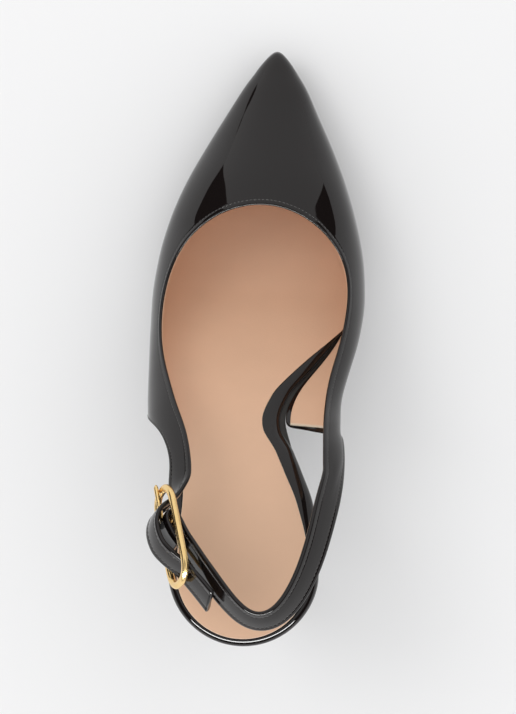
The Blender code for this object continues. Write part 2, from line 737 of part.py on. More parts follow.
def buckle_axes():
    """The buckle's middle, its direction to the toe, its height and its outward face."""
    flat = math.cos(BUCKLE_PITCH)
    along = np.array((-flat * math.sin(BUCKLE_HEADING), flat * math.cos(BUCKLE_HEADING),
                      -math.sin(BUCKLE_PITCH)))
    inwards = np.array((math.cos(BUCKLE_HEADING), math.sin(BUCKLE_HEADING), 0.0))
    upright = np.cross(inwards, along)
    across = math.cos(BUCKLE_LEAN) * upright + math.sin(BUCKLE_LEAN) * inwards
    out = np.cross(across, along)
    seat_at = BUCKLE_SEAT.at
    height = float(bottom_height(seat_at)) + INSTEP_HEIGHT * BUCKLE_SEAT.rise
    middle = shoe_to_model(BUCKLE_SEAT.side * BALL_WIDTH, seat_at, height)
    return middle, along, across, out


def buckle_matrix():
    """The buckle's frame as a matrix: x to the toe, y down its face, z out."""
    middle, along, across, out = buckle_axes()
    columns = np.eye(4)
    columns[:3, 0] = along
    columns[:3, 1] = -across
    columns[:3, 2] = out
    columns[:3, 3] = middle
    return Matrix(columns.tolist())


def turns_in_model(turns):
    """Points given in the buckle's frame, in the model's frame."""
    middle, along, across, out = buckle_axes()
    return np.array([middle + along * row.along + across * row.across + out * row.out
                     for row in turns])


def wing_lap(shares, level, sign):
    """A strap's middle line and its height's direction where it is sewn inside a wing."""
    step = 0.004
    middle = []
    ups = []
    for at in shares:
        points = []
        for move_at, move_level in ((0, 0), (step, 0), (0, 0.1), (0, -0.1)):
            here = at + move_at
            knots = knots_beside(here, sign)
            points.append(shoe_to_model(*section_point(sign, level + move_level, *knots)))
        ahead = points[1] - points[0]
        up = points[2] - points[3]
        out = sign * np.cross(ahead, up)
        out /= np.linalg.norm(out)
        middle.append(points[0] - out * (WALL + LAP_GAP + STRAP_THICKNESS / 2.0))
        ups.append(up / np.linalg.norm(up))
    return np.array(middle), np.array(ups)


def make_sling_strap(collection):
    """The sling strap from inside the inner wing round the heel to its loop on the centre bar."""
    route, ups = wing_lap(SLING_LAP, MEDIAL_STRAP_LEVEL, 1.0)
    for row in SLING:
        height = float(bottom_height(row.at)) + INSTEP_HEIGHT * row.rise
        lean = math.radians(row.lean)
        turn = math.radians(row.turn)
        up = (math.sin(lean) * math.cos(turn), -math.sin(lean) * math.sin(turn), math.cos(lean))
        route = np.vstack((route, shoe_to_model(row.side * BALL_WIDTH, row.at, height)))
        ups = np.vstack((ups, up))
    across = buckle_axes()[2]
    route = np.vstack((route, turns_in_model(SLING_LOOP)))
    ups = np.vstack((ups, [across] * len(SLING_LOOP)))
    middle = spline(route, 88)
    mesh = ribbon_mesh("sling_strap", middle, spread(route, ups, middle), STRAP_WIDTH, STRAP_THICKNESS)
    return add_object("sling_strap", mesh, collection, new_material("strap", BLACK_PATENT, 0.1, 0.0, 1.0))


def spread(route, values, middle):
    """The route's values read at each sample of the smooth line through it."""
    steps = np.linalg.norm(np.diff(route, axis=0), axis=1)
    length = np.concatenate(([0.0], np.cumsum(steps)))
    walked = np.concatenate(([0.0], np.cumsum(np.linalg.norm(np.diff(middle, axis=0), axis=1))))
    share = walked / walked[-1] * length[-1]
    return np.stack([np.interp(share, length, values[:, axis]) for axis in range(3)], axis=1)


def make_buckle_strap(collection):
    """The short strap from the outer wing, over the centre bar and back inside the frame."""
    route, ups = wing_lap(TAIL_LAP, LATERAL_STRAP_LEVEL, -1.0)
    across = buckle_axes()[2]
    route = np.vstack((route, turns_in_model(TAIL_TURNS)))
    ups = np.vstack((ups, [across] * len(TAIL_TURNS)))
    middle = spline(route, 60)
    mesh = ribbon_mesh("buckle_strap", middle, spread(route, ups, middle), STRAP_WIDTH, STRAP_THICKNESS)
    patent = new_material("strap_end", BLACK_PATENT, 0.1, 0.0, 1.0)
    return add_object("buckle_strap", mesh, collection, patent)


def wire(name, points, radius, closed, collection, material):
    """A round wire through points in the buckle's frame."""
    curve = bpy.data.curves.new(name, "CURVE")
    curve.dimensions = "3D"
    curve.bevel_depth = radius
    curve.bevel_resolution = 3
    curve.use_fill_caps = not closed
    path = curve.splines.new("POLY")
    path.points.add(len(points) - 1)
    for point, place in zip(path.points, points):
        point.co = (*place, 1.0)
    path.use_cyclic_u = closed
    path.use_smooth = True
    piece = add_object(name, curve, collection, material)
    piece.matrix_world = buckle_matrix()
    return piece


def make_buckle(collection):
    """The gold frame, a rounded rectangle of round bar, and its centre bar."""
    gold = new_material("buckle_gold", PALE_GOLD, 0.25, 1.0)
    half_length = (BUCKLE_LENGTH - BUCKLE_BAR) / 2.0
    half_height = (BUCKLE_HEIGHT - BUCKLE_BAR) / 2.0
    turn_radius = BUCKLE_ROUND - BUCKLE_BAR / 2.0
    points = []
    for corner, (sign_x, sign_y) in enumerate(((1, 1), (-1, 1), (-1, -1), (1, -1))):
        for step in range(7):
            turn = math.pi / 2.0 * (corner + step / 6)
            points.append((sign_x * (half_length - turn_radius) + turn_radius * math.cos(turn),
                           sign_y * (half_height - turn_radius) + turn_radius * math.sin(turn), 0.0))
    wire("buckle_frame", points, BUCKLE_BAR / 2.0, True, collection, gold)
    reach = half_height - BUCKLE_BAR / 2.0 - GAP
    ends = ((CENTRE_BAR_AT, -reach, 0.0), (CENTRE_BAR_AT, reach, 0.0))
    wire("buckle_bar", ends, CENTRE_BAR / 2.0, False, collection, gold)


def make_prong(collection):
    """The prong, turned round the centre bar and laid on the frame's front end."""
    gold = new_material("prong_gold", PALE_GOLD, 0.25, 1.0)
    eye = (CENTRE_BAR + PRONG) / 2.0 + GAP
    points = []
    for step in range(10):
        turn = math.radians(-40.0 - 230.0 * step / 9)
        points.append((CENTRE_BAR_AT + eye * math.cos(turn), 0.0, eye * math.sin(turn)))
    front = (BUCKLE_LENGTH - BUCKLE_BAR) / 2.0
    rest = (BUCKLE_BAR + PRONG) / 2.0 + GAP
    points.append((CENTRE_BAR_AT + 0.4 * (front - CENTRE_BAR_AT), 0.0, eye * 1.02))
    points.append((front, 0.0, rest))
    points.append((front + BUCKLE_BAR, 0.0, rest * 0.97))
    wire("prong", points, PRONG / 2.0, False, collection, gold)


def slot_cutter(name, start, end, low, high, cutters):
    """A box in the buckle's frame that cuts a strap where the prong passes."""
    bpy.ops.mesh.primitive_cube_add(size=1.0)
    box = bpy.context.active_object
    box.name = name
    size = Matrix.Diagonal((end - start, PRONG_SLOT, high - low, 1.0))
    place = Matrix.Translation(((start + end) / 2.0, 0.0, (low + high) / 2.0))
    box.data.transform(buckle_matrix() @ place @ size)
    box.hide_render = True
    box.display_type = "WIRE"
    for other in list(box.users_collection):
        other.objects.unlink(box)
    cutters.objects.link(box)
    return box


def cut(piece, cutter):
    """Takes the cutter's form out of a piece."""
    modifier = piece.modifiers.new("slot", "BOOLEAN")
    modifier.operation = "DIFFERENCE"
    modifier.solver = "EXACT"
    modifier.object = cutter


def main():
    for old in list(bpy.data.objects):
        bpy.data.objects.remove(old)
    shoe = bpy.data.collections.new("slingback_pump")
    cutters = bpy.data.collections.new("cutters")
    bpy.context.scene.collection.children.link(shoe)
    bpy.context.scene.collection.children.link(cutters)
    make_outsole(shoe)
    make_heel(shoe)
    make_top_piece(shoe)
    make_insole(shoe)
    make_sock(shoe)
    make_upper(shoe)
    sling = make_sling_strap(shoe)
    tail = make_buckle_strap(shoe)
    make_buckle(shoe)
    make_prong(shoe)
    eye = CENTRE_BAR / 2.0 + PRONG + 3.0 * GAP
    ring_slot = slot_cutter("ring_slot", CENTRE_BAR_AT - eye, CENTRE_BAR_AT + eye + STRAP_THICKNESS,
                            -eye - 2 * GAP, eye + 2 * GAP, cutters)
    cut(sling, ring_slot)
    prong_hole = slot_cutter("prong_hole", CENTRE_BAR_AT + 0.5 * eye, CENTRE_BAR_AT + 3.0 * eye,
                             -0.2 * eye, 2.0 * eye, cutters)
    cut(tail, prong_hole)


main()
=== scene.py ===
import math

import bpy
import numpy as np
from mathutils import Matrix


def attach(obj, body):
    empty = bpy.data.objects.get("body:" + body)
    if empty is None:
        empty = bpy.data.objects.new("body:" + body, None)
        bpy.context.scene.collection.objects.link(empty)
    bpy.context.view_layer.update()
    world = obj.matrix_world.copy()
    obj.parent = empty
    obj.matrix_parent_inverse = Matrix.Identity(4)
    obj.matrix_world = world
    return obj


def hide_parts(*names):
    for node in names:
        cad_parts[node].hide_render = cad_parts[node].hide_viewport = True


# A pointed slingback pump for the left foot: black patent upper with a cut-away shank, tan lining
# and sock, a slim covered heel and a sling strap with a pale gold centre-bar buckle.
# +Y points to the toe, +X to the inner side of the foot and +Z up. Lengths are metres.

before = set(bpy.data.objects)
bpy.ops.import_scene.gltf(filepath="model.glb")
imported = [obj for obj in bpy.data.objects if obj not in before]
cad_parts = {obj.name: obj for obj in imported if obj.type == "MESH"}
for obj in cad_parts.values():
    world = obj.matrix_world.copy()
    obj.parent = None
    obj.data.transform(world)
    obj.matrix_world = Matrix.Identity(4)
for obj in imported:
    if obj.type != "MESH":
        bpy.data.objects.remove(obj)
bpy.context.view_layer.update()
print("stage: the fixed frame is loaded")


# Tables with named columns
def named(names, rows):
    # A column of numbers for each of the names
    values = np.array(rows, dtype=float)
    return {name: values[:, index] for index, name in enumerate(names.split())}


# The last and the shoe's outer sizes. rise and spring: how high the heel's seat and the toe's tip
# lie over the ball. gap: left between neighbouring parts. shift: sideways, to the box's middle.
last = {
    "length": 0.230,
    "ball": 0.0848,
    "rise": 0.0850,
    "spring": 0.0062,
    "instep": 0.0515,
    "seatRound": 0.0280,
    "toeRound": 0.0080,
    "toeTuck": 0.0026,
    "sole": 0.0030,
    "gap": 0.0003,
    "wall": 0.0018,
    "shift": 0.00263,
}
# Share of the length where the toe's nose begins
noseStart = 1.0 - last["toeRound"] / last["length"]

# at: share of the length from the heel's back. heel and spring: shares of the heel's rise and the
# toe's spring. lateral and medial: half widths, shares of the ball's width.
bottom = named("at heel spring lateral medial", [
    (0.000, 1.000, 0.00, 0.332, 0.332),
    (0.087, 0.965, 0.00, 0.334, 0.333),
    (0.174, 0.894, 0.00, 0.342, 0.318),
    (0.230, 0.818, 0.00, 0.348, 0.288),
    (0.283, 0.721, 0.00, 0.364, 0.224),
    (0.326, 0.627, 0.00, 0.374, 0.168),
    (0.365, 0.535, 0.00, 0.389, 0.138),
    (0.404, 0.435, 0.00, 0.412, 0.172),
    (0.443, 0.338, 0.00, 0.435, 0.254),
    (0.487, 0.235, 0.00, 0.460, 0.342),
    (0.535, 0.139, 0.00, 0.480, 0.400),
    (0.591, 0.052, 0.00, 0.483, 0.427),
    (0.643, 0.012, 0.00, 0.465, 0.416),
    (0.696, 0.000, 0.00, 0.430, 0.381),
    (0.761, 0.000, 0.00, 0.366, 0.326),
    (0.826, 0.000, 0.04, 0.283, 0.257),
    (0.891, 0.000, 0.27, 0.184, 0.172),
    (0.943, 0.000, 0.56, 0.108, 0.104),
    (1.000, 0.000, 1.00, 0.043, 0.043),
])

# The upper's form. lateral and medial: widest half widths. lateralUp and medialUp: height of the
# widest line. lateralCrown and medialCrown: height of the arch. ridge: the crown's place. Heights
# are shares of the instep over the bottom.
form = named("at lateral medial lateralUp medialUp lateralCrown medialCrown ridge", [
    (0.240, 0.368, 0.425, 0.310, 0.520, 0.80, 0.90, 0.000),
    (0.270, 0.385, 0.426, 0.285, 0.520, 0.80, 0.90, 0.000),
    (0.290, 0.405, 0.426, 0.240, 0.515, 0.80, 0.90, 0.000),
    (0.325, 0.450, 0.416, 0.170, 0.490, 0.80, 0.89, 0.000),
    (0.361, 0.487, 0.395, 0.130, 0.430, 0.80, 0.88, -0.006),
    (0.395, 0.499, 0.388, 0.140, 0.370, 0.81, 0.82, -0.014),
    (0.435, 0.509, 0.409, 0.160, 0.320, 0.82, 0.76, -0.022),
    (0.504, 0.524, 0.452, 0.180, 0.250, 0.91, 0.80, -0.026),
    (0.565, 0.530, 0.468, 0.200, 0.230, 0.97, 0.91, -0.028),
    (0.630, 0.512, 0.456, 0.200, 0.210, 0.97, 0.97, -0.028),
    (0.696, 0.468, 0.418, 0.190, 0.190, 0.90, 0.90, -0.026),
    (0.761, 0.402, 0.363, 0.170, 0.170, 0.80, 0.80, -0.020),
    (0.826, 0.315, 0.291, 0.145, 0.145, 0.64, 0.64, -0.012),
    (0.891, 0.218, 0.205, 0.120, 0.120, 0.455, 0.455, -0.005),
    (0.935, 0.149, 0.147, 0.100, 0.100, 0.336, 0.336, -0.002),
    (0.974, 0.080, 0.080, 0.080, 0.080, 0.220, 0.220, 0.000),
    (1.000, 0.048, 0.048, 0.070, 0.070, 0.170, 0.170, 0.000),
])

# The topline in plan, from the outer wing round the throat to the inner wing
topline = named("at side", [
    (0.235, -0.262), (0.274, -0.242), (0.310, -0.258), (0.348, -0.292), (0.385, -0.347),
    (0.424, -0.396), (0.463, -0.440), (0.504, -0.464), (0.546, -0.468), (0.589, -0.454),
    (0.632, -0.416), (0.675, -0.338), (0.712, -0.200), (0.7275, -0.030), (0.718, 0.130),
    (0.689, 0.262), (0.647, 0.358), (0.603, 0.396), (0.561, 0.400), (0.519, 0.388),
    (0.476, 0.364), (0.435, 0.338), (0.395, 0.328), (0.357, 0.330), (0.315, 0.338),
    (0.275, 0.345),
])

# Ribs of each wing's back edge. low and top: shares of the length at the rib's foot and on the
# topline. level: the foot's place on the section, 0 at the sole, 1 at the widest line, 2 on top.
lateralWing = named("low level top", [
    (0.274, 1.57, 0.269), (0.288, 1.61, 0.283), (0.308, 1.63, 0.303), (0.326, 1.60, 0.322),
    (0.341, 1.52, 0.340), (0.350, 1.38, 0.355), (0.356, 1.20, 0.368), (0.360, 0.97, 0.380),
    (0.362, 0.50, 0.392), (0.363, 0.00, 0.402),
])
medialWing = named("low level top", [
    (0.300, 1.10, 0.290), (0.316, 1.09, 0.306), (0.329, 1.07, 0.322), (0.338, 1.01, 0.338),
    (0.344, 0.88, 0.353), (0.347, 0.62, 0.368), (0.349, 0.31, 0.383), (0.350, 0.00, 0.398),
])

# Where the throat's ribs fan out from, and how far behind it the topline is still looked up
fan = {"at": 0.609, "side": -0.024, "behind": 0.02}

# Exponent of the tuck under the widest line
tuck = 1.4

# Points of a dense curve from one knot to the next
curveSteps = 24

# Passes and weights of the easing. joinRibs: how far it reaches from a join. tipFrom and tipFull:
# shares of the length between which the form's easing fades out.
easing = {
    "toplineSteps": 40,
    "topline": 300,
    "rows": 16,
    "ribs": 60,
    "formWeight": 0.35,
    "strapWeight": 0.06,
    "joinRibs": 14.0,
    "tipFrom": 0.86,
    "tipFull": 0.92,
    "strapMark": 200,
    "heelOutline": 10,
    "heelRings": 20,
    "buckleFrame": 12,
}


# Curves
def smoothCubic(knots, values, at):
    # Hermite cubic, a knot's slope is the harmonic mean of its neighbours' and 0 at a turn
    steps = np.diff(knots)
    slopes = np.diff(values) / steps
    bends = np.zeros(len(knots))
    same = slopes[:-1] * slopes[1:] > 0.0
    mean = 2.0 * slopes[:-1] * slopes[1:] / np.where(same, slopes[:-1] + slopes[1:], 1.0)
    bends[1:-1] = np.where(same, mean, 0.0)
    bends[0] = slopes[0]
    bends[-1] = slopes[-1]
    at = np.clip(at, knots[0], knots[-1])
    left = np.clip(np.searchsorted(knots, at, side="right") - 1, 0, len(steps) - 1)
    part = (at - knots[left]) / steps[left]
    start = values[left] * (1 + 2 * part) * (1 - part) ** 2
    end = values[left + 1] * (3 - 2 * part) * part**2
    leanIn = bends[left] * part * (1 - part) ** 2
    leanOut = bends[left + 1] * part**2 * (part - 1)
    return start + end + steps[left] * (leanIn + leanOut)


def read(table, name, at):
    return smoothCubic(table["at"], table[name], np.asarray(at, dtype=float))


def bySide(table, sign, at, kind=""):
    # The outer side's column where the sign is negative, else the inner side's
    return np.where(sign < 0, read(table, "lateral" + kind, at), read(table, "medial" + kind, at))


def walked(points):
    # How far each point lies along the line
    steps = np.linalg.norm(np.diff(points, axis=0), axis=1)
    return np.concatenate(([0.0], np.cumsum(steps)))


def sampled(points, length, wanted):
    # The line's points at the wanted lengths
    columns = [np.interp(wanted, length, points[:, axis]) for axis in range(points.shape[1])]
    return np.stack(columns, axis=1)


def dense(points, steps=curveSteps):
    # Catmull-Rom through the points, with the ends mirrored
    points = np.asarray(points, dtype=float)
    padded = np.vstack((2 * points[0] - points[1], points, 2 * points[-1] - points[-2]))
    part = np.linspace(0.0, 1.0, steps, endpoint=False)[None, :, None]
    first, second, third, fourth = (padded[k:len(padded) - 3 + k, None, :] for k in range(4))
    cubic = (3 * (second - third) + fourth - first) * part**3
    square = (2 * first - 5 * second + 4 * third - fourth) * part**2
    curve = second + 0.5 * (cubic + square + (third - first) * part)
    return np.vstack((curve.reshape(-1, points.shape[1]), points[-1:]))


def eased(points, passes, weight=1.0, closed=False):
    # Each pass moves a row halfway to the mean of its two neighbours, times its weight
    for _ in range(passes):
        if closed:
            mean = 0.5 * (np.roll(points, 1, axis=0) + np.roll(points, -1, axis=0))
            points = points + 0.5 * weight * (mean - points)
        else:
            mean = 0.5 * (points[2:] + points[:-2])
            inner = weight if np.isscalar(weight) else weight[1:-1]
            points = points.copy()
            points[1:-1] += 0.5 * inner * (mean - points[1:-1])
    return points


def step(low, high, value):
    # 0 under low, 1 over high and 3 p^2 - 2 p^3 between them
    part = np.clip((value - low) / (high - low), 0.0, 1.0)
    return part * part * (3.0 - 2.0 * part)


def unit(vectors):
    return vectors / np.maximum(np.linalg.norm(vectors, axis=-1, keepdims=True), 1e-12)


# The last's bottom
def bottomHeight(at):
    heelRise = last["rise"] * read(bottom, "heel", at)
    toeSpring = last["spring"] * read(bottom, "spring", at)
    return heelRise + toeSpring + last["sole"]


def roundEnd(along, reach):
    # A quarter ellipse, 1 where along is 0 and 0 where it is the reach
    return np.sqrt(np.clip(1.0 - np.clip(along / reach, 0.0, 1.0) ** 2, 0.0, 1.0))


def nose(at, tip):
    return roundEnd(np.asarray(at) * last["length"] - (tip - last["toeRound"]), last["toeRound"])


def seat(at):
    return roundEnd(last["seatRound"] - np.asarray(at) * last["length"], last["seatRound"])


def plainWidth(at, sign):
    return last["ball"] * bySide(bottom, sign, at)


def bottomWidth(at, sign):
    return plainWidth(at, sign) * seat(at) * nose(at, last["length"] - last["toeTuck"])


def formWidth(at, sign):
    return last["ball"] * bySide(form, sign, at) * nose(at, last["length"])


def toModel(side, at, height):
    parts = np.broadcast_arrays(side + last["shift"], (at - 0.5) * last["length"], height)
    return np.stack(parts, axis=-1)


# The arch's sides over the vamp. tent: how far its flank falls as a slope. power: how the slope
# sets in. corner: how square its shoulder is. from and full: shares of the length between which
# the wings' rounder arch turns into it.
arch = {
    "lateralTent": 0.50,
    "lateralPower": 2.10,
    "lateralCorner": 6.0,
    "medialTent": 0.34,
    "medialPower": 1.9,
    "medialCorner": 4.4,
    "from": 0.51,
    "full": 0.76,
}


def flank(share, side):
    # (1 - tent x^power) (1 - x^corner)^(1 / corner)
    tent, power, corner = (arch[side + name] for name in ("Tent", "Power", "Corner"))
    return (1.0 - tent * share**power) * np.clip(1.0 - share**corner, 0.0, 1.0) ** (1.0 / corner)


def archProfile(share, sign, at):
    # The flanks' form on the vamp, sqrt(1 - x^2) by the wings
    vamp = np.where(sign < 0, flank(share, "lateral"), flank(share, "medial"))
    part = step(arch["from"], arch["full"], at)
    return vamp * part + np.sqrt(1.0 - share**2) * (1.0 - part)


# The upper's surface
def crownHeight(side, at):
    ridge = last["ball"] * read(form, "ridge", at)
    sign = np.where(side < ridge, -1.0, 1.0)
    width = formWidth(at, sign) - sign * ridge
    share = np.clip(np.abs(side - ridge) / np.maximum(width, 1e-6), 0.0, 1.0)
    widest = bySide(form, sign, at, "Up")
    rise = (bySide(form, sign, at, "Crown") - widest) * nose(at, last["length"])
    return bottomHeight(at) + last["instep"] * (widest + rise * archProfile(share, sign, at))


def widestHeight(sign, at):
    return bottomHeight(at) + last["instep"] * bySide(form, sign, at, "Up")


edgeKnots = np.stack((topline["side"] * last["ball"], topline["at"]), axis=1)
edgeLine = eased(dense(edgeKnots, easing["toplineSteps"]), easing["topline"])
throat = int(np.argmax(edgeLine[:, 1]))


def toplineBeside(at, sign):
    lateral = np.interp(at, edgeLine[:throat, 1], edgeLine[:throat, 0])
    medial = np.interp(at, edgeLine[:throat:-1, 1], edgeLine[:throat:-1, 0])
    return np.where(sign < 0, lateral, medial)


def toplineToward(side, at):
    # Where a ray from the fan's centre to a point of the outline crosses the topline
    centre = fan["side"] * last["ball"]
    front = edgeLine[edgeLine[:, 1] >= fan["at"] - fan["behind"]]
    lineAngle = np.arctan2(front[:, 0] - centre, (front[:, 1] - fan["at"]) * last["length"])
    angle = np.arctan2(side - centre, (at - fan["at"]) * last["length"])
    return np.interp(angle, lineAngle, front[:, 0]), np.interp(angle, lineAngle, front[:, 1])


def skin(low, level, top, sign, shares):
    # A rib's section: a tuck from the sole to the widest line, level 0 to 1, then an arch to the
    # topline, level 1 to 2. In the tuck, out = sin(level 90)^tuck and down = cos(level 90)^tuck.
    columns = (low, level, top, sign)
    low, level, top, sign = (np.asarray(column, dtype=float)[:, None] for column in columns)
    here = level + (2.0 - level) * shares[None, :]
    ahead = low >= fan["at"]
    at = np.where(ahead, low, low + (top - low) * shares[None, :])
    pull = np.clip((low - fan["at"]) / (noseStart - fan["at"]), 0.0, 1.0)
    footAt = at - pull * last["toeTuck"] / last["length"]
    footSide = sign * bottomWidth(footAt, sign)
    wideSide = sign * formWidth(at, sign)
    towardSide, towardAt = toplineToward(wideSide, at)
    topSide = np.where(ahead, towardSide, toplineBeside(at, sign))
    topAt = np.where(ahead, towardAt, at)
    turn = np.clip(here, 0.0, 1.0) * math.pi / 2.0
    out = np.sin(turn) ** tuck
    down = np.clip(np.cos(turn), 0.0, 1.0) ** tuck
    high = widestHeight(sign, at)
    foot = bottomHeight(footAt) + last["gap"]
    reach = 1.0 - np.cos((np.clip(here, 1.0, 2.0) - 1.0) * math.pi / 2.0)
    archSide = wideSide + (topSide - wideSide) * reach
    archAt = at + (topAt - at) * reach
    tucked = here <= 1.0
    side = np.where(tucked, footSide + (wideSide - footSide) * out, archSide)
    along = np.where(tucked, footAt + (at - footAt) * out, archAt)
    height = np.where(tucked, high - (high - foot) * down, crownHeight(archSide, archAt))
    return toModel(side, along, height)


# Rows of a rib, in metres from its lower edge and from its upper edge, and how many lie between
# them. middle, stitchLow and stitchTop: the row half way up and those under the thread.
rows = {
    "low": np.array([0.0, 0.30, 0.65, 1.0, 1.3, 1.5, 1.7, 2.0, 2.5, 3.1, 3.8]) / 1000.0,
    "top": np.array([4.4, 3.7, 3.1, 2.6, 2.2, 1.9, 1.7, 1.5, 1.3, 1.0, 0.65, 0.30, 0.0]) / 1000.0,
    "between": 32,
    "middle": 28,
    "stitchLow": 5,
    "stitchTop": -6,
    "mostTop": 0.46,
}


def rowDistances(length):
    # Distances along ribs of these lengths: a band by each edge and even rows between them. On a
    # short rib the bands shrink, so that the upper one takes at most the share mostTop.
    fit = np.minimum(1.0, length[:, None] * rows["mostTop"] / rows["top"][0])
    low = rows["low"][None, :] * fit
    top = length[:, None] - rows["top"][None, :] * fit
    part = np.linspace(0.0, 1.0, rows["between"] + 2)[1:-1][None, :]
    between = low[:, -1:] + (top[:, :1] - low[:, -1:]) * part
    return np.concatenate((low, between, top), axis=1)


def edgeDistances(grid):
    # How far along its rib each point lies from the lower edge and from the upper edge
    steps = np.linalg.norm(np.diff(grid, axis=1), axis=2)
    fromLow = np.concatenate((np.zeros((len(grid), 1)), np.cumsum(steps, axis=1)), axis=1)
    return fromLow, fromLow[:, -1:] - fromLow


def evenRows(grid):
    length, _ = edgeDistances(grid)
    wanted = rowDistances(length[:, -1])
    return np.stack([sampled(grid[k], length[k], wanted[k]) for k in range(len(grid))])


# How many ribs each stretch has, and how many points a rib has before its rows are laid
ribs = {"lateralWing": 80, "medialWing": 66, "beside": 66, "fan": 84, "nose": 24, "points": 181}


def sideRibs(wing, wingCount):
    # One side's ribs: from the strap's end down the wing's back edge, beside the foot, over the
    # vamp and round the toe
    knots = np.arange(len(wing["low"]), dtype=float)
    at = np.linspace(0.0, knots[-1], wingCount, endpoint=False)
    low = smoothCubic(knots, wing["low"], at)
    level = smoothCubic(knots, wing["level"], at)
    top = smoothCubic(knots, wing["top"], at)
    part = np.linspace(0.0, 1.0, ribs["beside"], endpoint=False)
    low = np.concatenate((low, wing["low"][-1] + (fan["at"] - wing["low"][-1]) * part))
    top = np.concatenate((top, wing["top"][-1] + (fan["at"] - wing["top"][-1]) * part))
    turned = noseStart + last["toeRound"] / last["length"] * np.sin(
        np.linspace(0.0, math.pi / 2.0, ribs["nose"], endpoint=False))
    front = np.concatenate((np.linspace(fan["at"], noseStart, ribs["fan"], endpoint=False), turned))
    low = np.concatenate((low, front))
    top = np.concatenate((top, front))
    level = np.concatenate((level, np.zeros(len(low) - wingCount)))
    return low, np.maximum(level, 0.0), top


shares = np.linspace(0.0, 1.0, ribs["points"])
lateralRibs = sideRibs(lateralWing, ribs["lateralWing"])
medialRibs = sideRibs(medialWing, ribs["medialWing"])
ribLow, ribLevel, ribTop = (
    np.concatenate((a, [c], b[::-1])) for a, b, c in zip(lateralRibs, medialRibs, (1.0, 0.0, 1.0)))
ribSign = np.concatenate((-np.ones(len(lateralRibs[0])), np.ones(len(medialRibs[0]) + 1)))
upperGrid = skin(ribLow, ribLevel, ribTop, ribSign, shares)
upperGrid = np.swapaxes(eased(np.swapaxes(upperGrid, 0, 1), easing["rows"]), 0, 1)
upperGrid = evenRows(upperGrid)
print("stage: the upper's form has", upperGrid.shape[:2], "points")

# The straps. In the sling's table side is a share of the ball's width and rise a share of the
# instep over the bottom. lean: degrees that the upper edge tips inwards. turn: heading of the
# inward side in degrees, clockwise from +X.
strap = {
    "width": 0.0104,
    "thickness": 0.0017,
    "ease": 500,
    "tailStep": 0.0006,
    "runStep": 0.0012,
    "loopStep": 0.0005,
    "loopLength": 0.045,
}
sling = named("at side rise lean turn", [
    (0.261, 0.364, 0.645, 39.0, 182.0),
    (0.204, 0.341, 0.664, 40.0, 190.0),
    (0.148, 0.304, 0.668, 40.0, 200.0),
    (0.100, 0.252, 0.683, 40.0, 222.0),
    (0.064, 0.180, 0.702, 38.0, 245.0),
    (0.055, 0.103, 0.707, 36.0, 268.0),
    (0.062, 0.031, 0.708, 35.0, 294.0),
    (0.091, -0.049, 0.680, 34.0, 312.0),
])

# The buckle. barWide and barThick: the frame's section in shares of bar. round: outer radius of its
# corners. centreAt: how far the centre bar lies from the middle, towards the toe.
buckle = {
    "length": 0.0385,
    "height": 0.0190,
    "bar": 0.0026,
    "barWide": 1.12,
    "barThick": 1.02,
    "round": 0.0078,
    "centreBar": 0.0022,
    "centreAt": 0.0055,
    "heading": math.radians(16.5),
    "pitch": math.radians(23.0),
    "lean": math.radians(28.5),
    "at": 0.178,
    "side": -0.302,
    "rise": 0.563,
    "prong": 0.0017,
}

# Turns in the buckle's frame, metres from its middle: to the toe, up its height, out of its face
slingLoop = [
    (-0.0160, 0.0038, -0.0090), (-0.0055, 0.0008, -0.0060), (0.0000, 0.0000, -0.0042),
    (0.0048, 0.0000, -0.0028),
    (0.0074, 0.0000, -0.0016), (0.0081, 0.0000, 0.0000), (0.0074, 0.0000, 0.0016),
    (0.0050, 0.0000, 0.0025), (0.0000, 0.0000, 0.0014), (-0.0045, 0.0002, -0.0006),
]
tailTurns = [
    (0.0150, 0.0008, -0.0046), (0.0128, 0.0004, -0.0022), (0.0114, 0.0000, 0.0006),
    (0.0088, 0.0000, 0.0043), (0.0036, 0.0000, 0.0064), (-0.0030, 0.0002, 0.0058),
    (-0.0080, 0.0006, 0.0029), (-0.0118, 0.0008, -0.0006), (-0.0155, 0.0012, -0.0030),
    (-0.0200, 0.0022, -0.0052), (-0.0250, 0.0036, -0.0072), (-0.0275, 0.0044, -0.0081),
]


def buckleAxes():
    flat = math.cos(buckle["pitch"])
    along = np.array((-flat * math.sin(buckle["heading"]), flat * math.cos(buckle["heading"]),
                      -math.sin(buckle["pitch"])))
    inwards = np.array((math.cos(buckle["heading"]), math.sin(buckle["heading"]), 0.0))
    upright = np.cross(inwards, along)
    across = math.cos(buckle["lean"]) * upright + math.sin(buckle["lean"]) * inwards
    out = np.cross(across, along)
    height = float(bottomHeight(buckle["at"])) + last["instep"] * buckle["rise"]
    middle = toModel(buckle["side"] * last["ball"], buckle["at"], height)
    return middle, along, across, out


buckleMiddle, buckleAlong, buckleAcross, buckleOut = buckleAxes()


def inBuckle(points):
    points = np.asarray(points, dtype=float)
    return buckleMiddle + points @ np.array([buckleAlong, buckleAcross, buckleOut])


